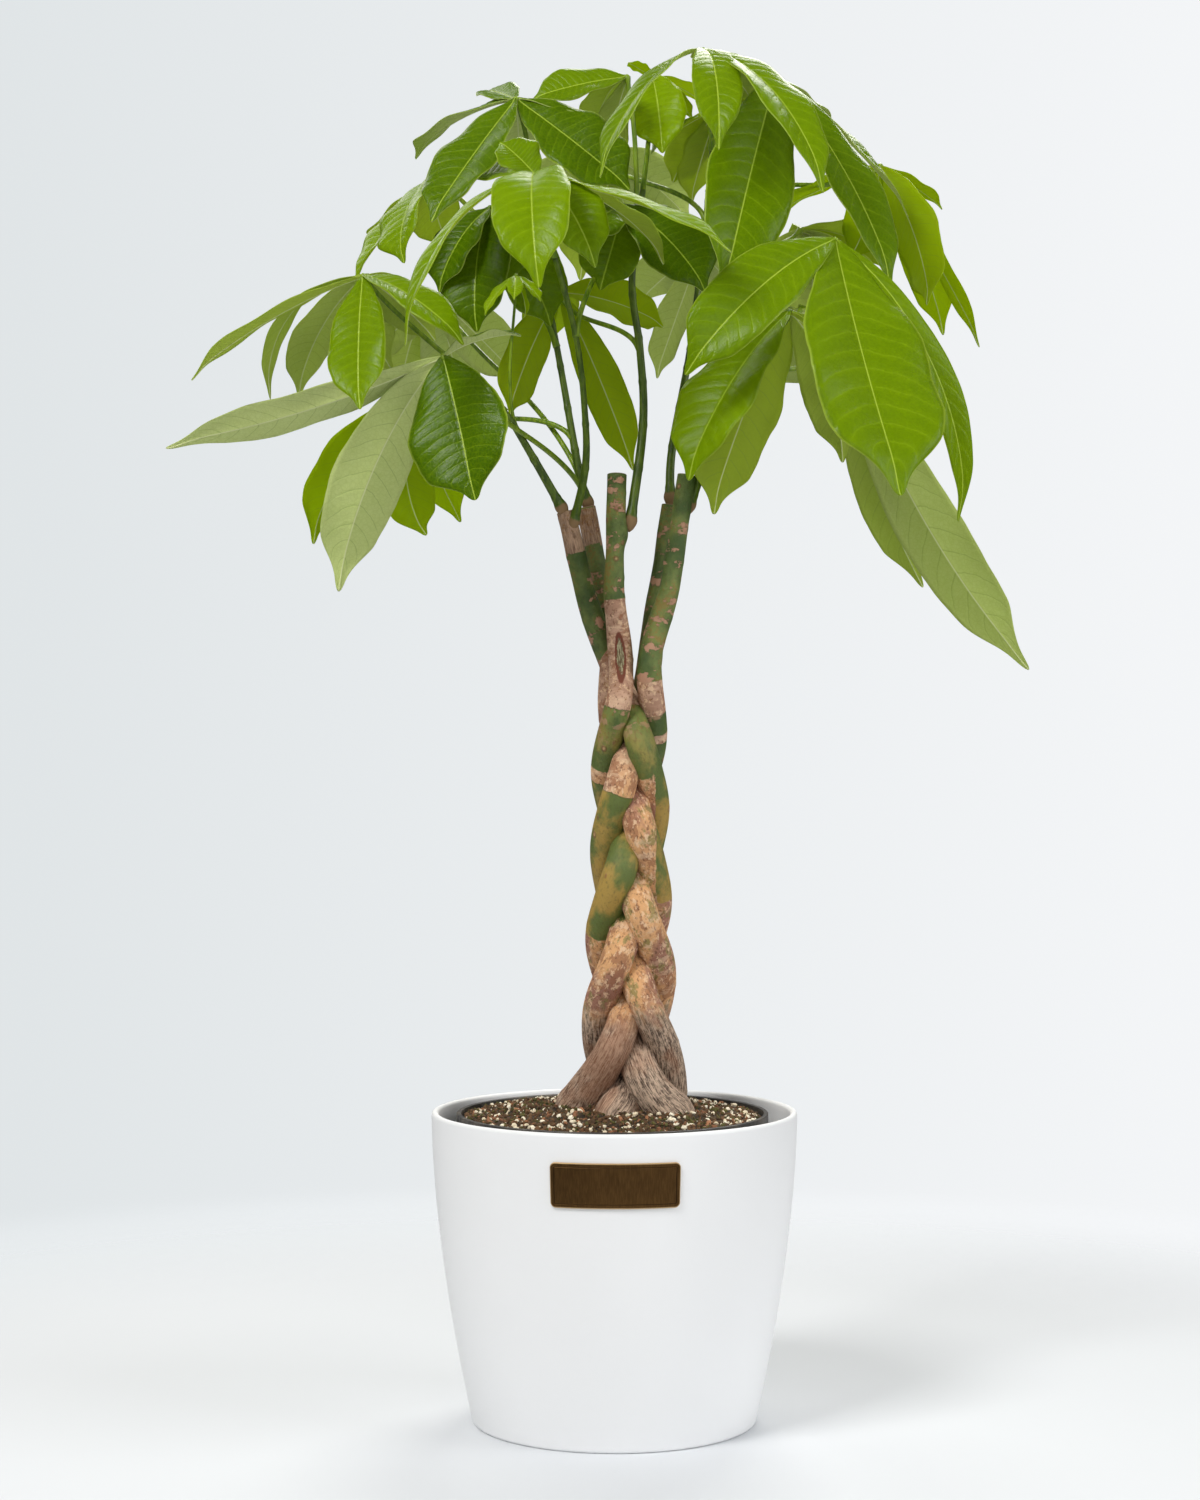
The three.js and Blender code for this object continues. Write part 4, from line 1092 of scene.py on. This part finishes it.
# For each leaf: the shoot it grows on and how far along that, the hub where its leaflets meet, the way the
# hub faces, its tone, where 0 is deep green and 1 is bright lime, and its grid. The tone is partly the
# leaf's
# youth and partly painted shade: leaves that stand in the crown's shade get low values. Then for each
# leaflet its tip and its width in mm and, where they aren't the usual ones, how high its midrib arches, as
# a share of its length, and how many degrees the blade rolls about it.
LEAVES = {
    "leaf_crown_left": (
        "shoot_back_left", 0.97, [516, 99, -30], [-0.35, -0.25, 0.9], 0.1, "fine",
        [486, 90, 40, 30, 0.02], [414, 156, 60, 38, 0.08], [430, 219, -90, 54, 0.02, -20],
        [630, 188, -50, 58, 0.02, 20], [628, 160, 10, 44, 0.05], [520, 180, 100, 48, 0.05],
    ),
    "leaf_front": (
        "shoot_front", 0.98, [537, 177, -110], [-0.1, -0.6, 0.8], 0.52, "fine",
        [538, 287, -215, 56, 0.28], [400, 345, -165, 32, 0.26, 30], [462, 182, -20, 44, 0.05],
        [500, 142, -105, 40, 0.05], [733, 247, -190, 34, 0.06, -30], [666, 262, -70, 44, 0.15, -30],
        [596, 266, -170, 44],
    ),
    "leaf_left": (
        "shoot_left", 1, [363, 276, -70], [-0.6, -0.2, 0.8], 0.5, "fine",
        [359, 407, -135, 44, 0.03, -25], [189, 377, -60, 28, 0.06, 15], [268, 397, 60, 18, 0.2, 20],
        [298, 394, 20, 36, 0.08, 40], [465, 343, -125, 34, 0.16, -25], [436, 340, -20, 40],
        [392, 372, 40, 42, 0.2],
    ),
    "leaf_left_low": (
        "shoot_back_left", 0.2, [443, 356, -95], [-0.4, 0, 0.9], 0.1, "fine",
        [168, 443, 10, 34, -0.03, 50], [338, 589, 10, 54, 0.08, 50], [474, 499, -135, 76, 0.02, -10],
        [521, 334, -105, 44, 0.1],
    ),
    "leaf_top": (
        "shoot_back_right", 1, [703, 50, -20], [0.05, -0.2, 1], 0.4, "fine",
        [719, 148, -110, 36, 0.2], [826, 190, -130, 40, 0.16], [596, 175, -120, 30, 0.16, 20],
        [735, 104, 110, 46, 0.08], [764, 124, 120, 46, 0.08],
    ),
    "leaf_upper_right": (
        "shoot_back_right", 0.88, [776, 76, -10], [0.4, -0.3, 0.85], 0.2, "fine",
        [894, 285, -80, 46, 0.05, 15], [912, 214, 40, 36, 0.04], [725, 283, -110, 68, 0.02],
        [822, 128, 120, 42, 0.02],
    ),
    "leaf_right_front": (
        "shoot_right", 0.97, [835, 240, -100], [0.35, -0.6, 0.75], 0.5, "fine",
        [903, 492, -200, 98, 0.01], [684, 374, -150, 56, 0.16], [962, 524, -60, 27, 0.2, 20],
        [856, 320, 0, 44, 0.05],
    ),
    "leaf_right_low": (
        "shoot_right", 0.75, [790, 312, -70], [0.2, 0, 1], 0.6, "fine",
        [842, 462, 0, 44, 0.15, -50], [868, 425, -90, 44, 0.12], [711, 514, -15, 66, 0.12],
        [686, 479, -120, 66, 0.12],
    ),
    "leaf_right_long": (
        "shoot_right", 0.6, [848, 348, 30], [0.5, 0.3, 0.85], 0.44, "fine",
        [1029, 667, 50, 50, -0.07, -55], [922, 585, 100, 40, -0.05, -50], [765, 385, 120, 46, 0.15],
    ),
    "leaf_right_back": (
        "shoot_back_right", 0.85, [880, 166, 90], [0.6, 0.2, 0.8], 0.9, "plain",
        [943, 208, 110, 24, 0.05], [982, 346, 100, 18, 0.02, -20], [930, 306, 30, 44, 0.06, -50],
        [944, 334, 150, 36, 0.06, -40], [756, 224, 70, 34, 0.05], [850, 260, 180, 44, 0.1],
    ),
    "leaf_young": (
        "shoot_left", 0.6, [516, 276, -50], [0, -0.3, 1], 0.9, "few",
        [484, 315, -60, 13, 0.1], [514, 299, -80, 12, 0.1], [526, 317, -40, 12, 0.1],
        [541, 301, -60, 12, 0.1],
    ),
    "leaf_top_back": (
        "shoot_centre", 0.97, [652, 76, 70], [0, 0.3, 1], 0.95, "plain",
        [662, 152, 30, 44, 0.1, 40], [693, 118, 100, 18, 0.05], [628, 62, 50, 14, 0.02],
        [700, 100, 150, 20, 0.02],
    ),
    "leaf_top_middle": (
        "shoot_centre", 0.86, [627, 77, 10], [-0.2, -0.1, 1], 0.35, "plain",
        [533, 98, 0, 36, 0.05, -40], [594, 140, 70, 34, 0.2], [606, 186, 60, 34, 0.05],
    ),
    "leaf_top_inner": (
        "shoot_back_right", 0.95, [718, 108, 90], [-0.1, 0, 1], 0.5, "plain",
        [650, 152, 60, 28, 0.05], [672, 182, 110, 36, 0.05, 40], [690, 202, 120, 40, 0.05],
        [757, 150, 90, 46, 0.15, -40],
    ),
    "leaf_left_high": (
        "shoot_back_left", 0.9, [440, 176, 50], [-0.6, -0.2, 0.8], 0.65, "plain",
        [353, 280, 40, 50, 0.05, -10], [374, 240, 140, 46, 0.05], [402, 262, -20, 52], [450, 250, 180, 48],
    ),
    "leaf_left_inner": (
        "shoot_back_left", 0.72, [490, 208, 20], [-0.2, -0.5, 0.8], 0.1, "plain",
        [438, 292, -5, 44, 0.15], [476, 332, -10, 58, 0.15], [552, 326, 20, 54, 0.15],
    ),
    "leaf_left_back": (
        "shoot_back_left", 0.45, [418, 398, 110], [-0.5, 0.4, 0.8], 0.95, "plain",
        [311, 544, 120, 44, 0.15, 30], [426, 537, 100, 46, 0.2, 40], [462, 522, 160, 38, 0.2, 30],
        [369, 448, 60, 30],
    ),
    "leaf_inner": (
        "shoot_centre", 0.5, [560, 292, 80], [-0.2, 0.2, 1], 0.7, "plain",
        [634, 470, 90, 34, 0.01, -30], [508, 416, 40, 40, 0.05, 60], [665, 326, 50, 42, 0.1, -30],
        [545, 345, 190, 46, 0.1],
    ),
    "leaf_inner_right": (
        "shoot_front", 0.75, [624, 206, -20], [0.1, -0.7, 0.7], 0.1, "plain",
        [706, 290, -45, 62, 0.1], [600, 290, -30, 46, 0.15], [575, 240, -60, 46, 0.1],
    ),
    "leaf_back_top": (
        "shoot_back_right", 0.8, [600, 150, 150], [-0.1, 0.5, 0.9], 0.4, "few",
        [520, 230, 190, 48], [580, 280, 240, 50], [640, 250, 270, 50], [690, 220, 200, 48],
    ),
    "leaf_back_left": (
        "shoot_back_left", 0.3, [440, 300, 180], [-0.4, 0.6, 0.8], 0.4, "few",
        [370, 360, 200, 46], [400, 400, 280, 50, 0.2], [470, 420, 290, 50, 0.2], [520, 380, 240, 48],
    ),
    "leaf_back_middle": (
        "shoot_back_right", 0.5, [700, 250, 190], [0, 0.7, 0.8], 0.3, "few",
        [655, 378, 210, 38, 0.05, -30], [640, 300, 300, 50, 0.05], [720, 360, 310, 52, 0.1],
        [760, 330, 250, 50, 0.05], [690, 310, 340, 46, 0.05],
    ),
    "leaf_back_right": (
        "shoot_back_right", 0.7, [800, 230, 170], [0.5, 0.5, 0.8], 0.4, "few",
        [740, 330, 210, 48], [800, 350, 280, 52, 0.2], [870, 350, 260, 52, 0.2], [890, 270, 220, 48],
        [810, 300, 310, 46],
    ),
    "leaf_back_low": (
        "shoot_back_right", 0.35, [800, 310, 150], [0.4, 0.6, 0.8], 0.3, "few",
        [730, 385, 200, 48, 0.15], [785, 380, 250, 50, 0.15], [870, 410, 230, 48, 0.15],
        [850, 380, 290, 46],
    ),
}
print("leaflets:", sum(len(row[6:]) for row in LEAVES.values()))


# %% [markdown]
# The blade is a function of two numbers: t along the midrib and w from one margin to the other. A Bezier
# curve gives the midrib. Across it the blade rises in a shallow fold, dips at its midrib and its side
# veins and swells between them, and its margin waves. The same grid, moved down by the blade's thickness
# and with a raised midrib, is the underside, and a rim closes the two.

# %% Blade geometry
BLADE_THICKNESS, USUAL_ARCH, TWIST, SWAY, DROOP = 0.6, 0.16, 9, 0.02, 0.022
# The number of pairs of side veins, and how far towards the tip they bend, in steps between two veins:
# in proportion to the way out, and to its square.
SIDE_VEINS, VEIN_BEND, VEIN_CURVE = 15, 0.9, 0.8


def bezier(control, t):
    """Points and directions of a cubic Bezier curve with these four control points."""
    p0, p1, p2, p3 = control
    t = t[:, None]
    rest = 1 - t
    points = rest**3 * p0 + 3 * rest**2 * t * p1 + 3 * rest * t**2 * p2 + t**3 * p3
    slopes = 3 * rest**2 * (p1 - p0) + 6 * rest * t * (p2 - p1) + 3 * t**2 * (p3 - p2)
    return points, unit(slopes)


def blade_share(t):
    """Share of the full half width: a full sine leaned towards the tip, drawn out into a drip tip."""
    lobe = np.maximum(np.sin(np.pi * t**1.28), 0) ** 0.66
    return lobe * (1 - 0.6 * smoothstep(0.8, 0.96, t)) + 0.025


def vein_phase(t, out):
    """Whole numbers where a side vein runs: it leaves the midrib and bends towards the tip. out is how
    far it has come towards the margin. Arrays and wires both work."""
    return t * SIDE_VEINS - out * VEIN_BEND - out * out * VEIN_CURVE


def midrib(hub, chord, facing, arch, roll, draw, rows):
    """Where the rows of a blade are: their t, their middle, and the directions across and out of the
    blade. Rows are closer together at both ends. The blade twists along its midrib, which sways to one
    side and hangs at its tip."""
    length = np.linalg.norm(chord)
    up = unit(facing - chord * (facing @ chord) / length**2)
    rise = up * arch * length
    start = 1.2 / length
    spaced = np.linspace(0, 1, rows)
    t = start + (1 - start) * (0.6 * spaced + 0.4 * (1 - np.cos(np.pi * spaced)) / 2)
    line, along = bezier([hub, hub + 0.28 * chord + rise, hub + 0.7 * chord + rise, hub + chord], t)
    side = unit(np.cross(up, along))
    turn = math.radians(roll) + math.radians(draw.uniform(-TWIST, TWIST)) * t[:, None]
    side = side * np.cos(turn) + np.cross(along, side) * np.sin(turn)
    normal = np.cross(along, side)
    line = line + side * (draw.uniform(-SWAY, SWAY) * length * np.sin(np.pi * t))[:, None]
    line = line - normal * (DROOP * length * smoothstep(0.8, 1, t) ** 2)[:, None]
    return t, line, side, normal


def blade(hub, facing, youth_and_shade, draw, grid, across, down, depth, width, arch=USUAL_ARCH, roll=0):
    """Both faces are the midrib, plus a way out across the blade, plus a lift square to it: a fold, a wave
    that grows towards the margin, and quilting between the side veins. Above, the midrib is a groove, and
    below it is a keel."""
    rows, columns = grid
    t, line, side, normal = midrib(hub, seen([across, down, depth]) - hub, facing, arch, roll, draw, rows)
    w = np.linspace(-1, 1, columns)
    w = (np.sign(w) * np.abs(w) ** 1.25)[None, :]
    t = t[:, None]
    uneven = draw.uniform(0, 6)
    ripple = 0.01 * np.sin(9 * np.pi * t + uneven) + 0.005 * np.sin(23 * np.pi * t + 2 * uneven)
    half = np.maximum(width / 2 * blade_share(t), 1.3 * (1 - smoothstep(0, 0.06, t)))
    out = w * half * (1 + ripple * np.sign(w))

    fold = half * (0.32 * np.abs(w) - 0.17 * np.abs(w) ** 3)
    wave = np.sin(2 * np.pi * draw.uniform(2.2, 3.4) * t + draw.uniform(0, 6) + 1.5 * w)
    flat_ends = smoothstep(0.03, 0.15, t) * (1 - smoothstep(0.86, 1, t))
    quilt = -0.36 * np.cos(2 * np.pi * vein_phase(t, np.abs(w))) * np.abs(w) ** 0.5 * (1 - w**2) * flat_ends
    lift = fold + 0.08 * half * wave * w**2 + quilt
    rib = np.abs(out)
    taper = 1 - 0.75 * t
    groove = -0.5 * taper * bell(rib, 1.5 * taper) * flat_ends
    keel = 1.2 * taper * bell(rib, 1.2 * taper)
    thick_foot = 2.4 * (1 - smoothstep(0, 0.05, t))

    sheet = line[:, None] + side[:, None] * out[..., None]
    upper = sheet + normal[:, None] * (lift + groove + BLADE_THICKNESS / 2 + thick_foot / 2)[..., None]
    lower = sheet + normal[:, None] * (lift - keel - BLADE_THICKNESS / 2 - thick_foot / 3)[..., None]
    # The tint is partly the leaf's youth and partly painted shade, lower for leaves deep in the crown.
    values = {"u": w, "v": t, "rib": rib, "tint": youth_and_shade + draw.uniform(-0.12, 0.12)}
    return slab(upper, lower, under=(0.0, 1.0), **{key: (value, value) for key, value in values.items()})


print("share of the full width at a quarter and at a half:", blade_share(np.array([0.25, 0.5])).round(2))


# %% [markdown]
# The stalk bends up out of its shoot and meets the hub from below, with a swollen joint at both ends.

# %% Leaf stalks
PETIOLE_RADIUS, YOUNG_PETIOLE_RADIUS, KNOB_RADIUS, PETIOLE_ROWS, PETIOLE_SIDES = 1.7, 1.0, 2.8, 56, 12


def stalk_shape(shoot, share, hub, facing, radius):
    """A tube along a cubic Bezier curve whose first control follows the shoot."""
    root, direction = (found[0] for found in catmull_rom(seen(SHOOTS[shoot][1]), share))
    reach = np.linalg.norm(hub - root)
    lean = (direction + (hub - root) / reach) / 2
    control = [root, root + lean * reach * 0.35, hub - facing * reach * 0.3, hub + facing * 2]
    t = np.linspace(0, 1, PETIOLE_ROWS)
    line, _ = bezier(control, t)
    square_to = unit(np.cross(hub - root, control[2] - root) + 1e-6)
    knob = (min(KNOB_RADIUS, 2 * radius) - radius) * smoothstep(0.93, 0.985, t)
    close = np.sqrt(1 - smoothstep(0.985, 1, t) * 0.8)
    thickness = (radius * (1.25 - 0.25 * t) + knob + 0.9 * bell(t * reach, 7)) * close
    return tube(rings_along(line, thickness[:, None], PETIOLE_SIDES, square_to), foot=0.0, age=1.0)


print("a stalk is", 2 * PETIOLE_RADIUS, "mm thick, and its knob", 2 * KNOB_RADIUS, "mm")


# %% [markdown]
# A leaf's upper side is glossy and its underside pale and dull. Light also passes through it, which is
# what makes leaves in front of a bright wall glow yellow-green. So the finish mixes a glossy surface with
# a translucent one. The midrib and the side veins are drawn from the blade's own two numbers.

# %% Leaf finish
def leaf_blade():
    """Two sides, each a colour with its patches, fine net and veins over it, and on the upper side a
    painted highlight along the margin. How much light comes through grows with the tint, is more from
    below, and is less where veins are."""
    finish = Finish("leaf_blade")
    under, tint = finish.value("under"), finish.value("tint")
    out = finish.math("ABSOLUTE", finish.value("u"))
    cloud = finish.noise(26.0, 3.0)
    mottle = finish.noise(240.0, 4.0, 0.6)
    swell = finish.noise(70.0, 2.0)
    off_vein = (vein_phase(finish.value("v"), out) + (swell - 0.5) * 0.35).distance_to_whole()
    vein = (1 - off_vein.soft_step(0.0, 0.05)) * (1 - out.soft_step(0.7, 0.98))
    net = finish.cells(330.0, "DISTANCE_TO_EDGE").soft_step(0.0, 0.16)
    rib = 1 - finish.value("rib").soft_step(0.25, 0.7)
    # Painted highlight: a pale line along the upper side's margin, where an edge catches light.
    margin = out.soft_step(0.955, 0.99)

    upper = finish.coats(
        finish.blend(cloud, (46, 74, 1), (74, 104, 1)),
        # The tint runs from deep green to lime. It is partly youth and partly painted shade.
        (tint, finish.blend(cloud, (126, 160, 1), (152, 182, 2))),
        (mottle.soft_step(0.3, 0.7) * 0.2, (54, 90, 2)),
        (off_vein.soft_step(0.0, 0.4, 0.0, 0.16), (50, 84, 1)),
        ((1 - net) * 0.16, (138, 168, 10)),
        (vein * 0.35, (146, 176, 30)),
        (finish.math("MAXIMUM", rib * 0.75, margin * 0.5), (178, 200, 72)),
    )
    lower = finish.coats(
        finish.blend(mottle, (198, 212, 130), (218, 230, 156)),
        (tint.soft_step(0.15, 0.7), finish.blend(mottle, (156, 176, 4), (176, 192, 14))),
        ((1 - net) * 0.14, (132, 156, 60)),
        (vein * 0.5, (126, 152, 60)),
        (rib * 0.9, (232, 238, 178)),
    )
    gloss = finish.principled(
        Base_Color=finish.blend(under, upper, lower),
        Roughness=under * 0.25 + swell * 0.16 + 0.2,
        Specular_IOR_Level=0.15,
        Normal=finish.bump(swell + off_vein.soft_step(0.0, 0.2) * 0.3 + net * 0.12, 0.6, 0.0009),
    )
    through = finish.node("ShaderNodeBsdfTranslucent", None, {"Color": colour((210, 228, 8))})
    dense = finish.math("MAXIMUM", vein * 0.2, rib * 0.3)
    return finish.done(finish.mixed(((under * 0.5 + 0.16) * tint + 0.18) * (1 - dense), gloss, through))


leaf_finish = leaf_blade()
for index, (name, row) in enumerate(LEAVES.items()):
    shoot, share, hub, faces, youth_and_shade, detail, *leaflets = row
    draw = np.random.default_rng(100 + index)
    hub, facing = seen(hub), unit(np.array(faces, float))
    blades = [blade(hub, facing, youth_and_shade, draw, BLADE_GRID[detail], *leaflet) for leaflet in leaflets]
    radius = YOUNG_PETIOLE_RADIUS if name == "leaf_young" else PETIOLE_RADIUS
    stalk = stalk_shape(shoot, share, hub, facing, radius)
    make_piece(name + "_blades", blades, leaf_finish, name)
    make_piece(name + "_stalk", [stalk], stem_finish, name)


# %% [markdown]
# ## The floor
# A wide, matte, nearly white floor catches a soft shadow under the planter. It rides on no body, so it
# isn't part of the plant.

# %% Floor
FLOOR_HALF = 2.4


def studio_floor():
    """Solid round the planter, and clear towards the wall's tone further out."""
    finish = Finish("studio_floor")
    tone = finish.blend(finish.noise(1.2, 2.0), (211, 214, 218), (216, 219, 222))
    matte = finish.principled(Base_Color=tone, Roughness=0.7)
    far = finish.node("ShaderNodeVectorMath", {"operation": "LENGTH"}, {0: finish.place}, output="Value")
    clear = finish.node("ShaderNodeBsdfTransparent")
    return finish.done(finish.mixed(far.soft_step(0.46, 1.2), matte, clear))


mesh = bpy.data.meshes.new("studio_floor")
corners = [(x * FLOOR_HALF, y * FLOOR_HALF, 0) for x, y in ((-1, -1), (1, -1), (1, 1), (-1, 1))]
mesh.from_pydata(corners, [], [(0, 1, 2, 3)])
mesh.materials.append(studio_floor())
added("studio_floor", mesh)
print("floor:", 2 * FLOOR_HALF, "m wide")
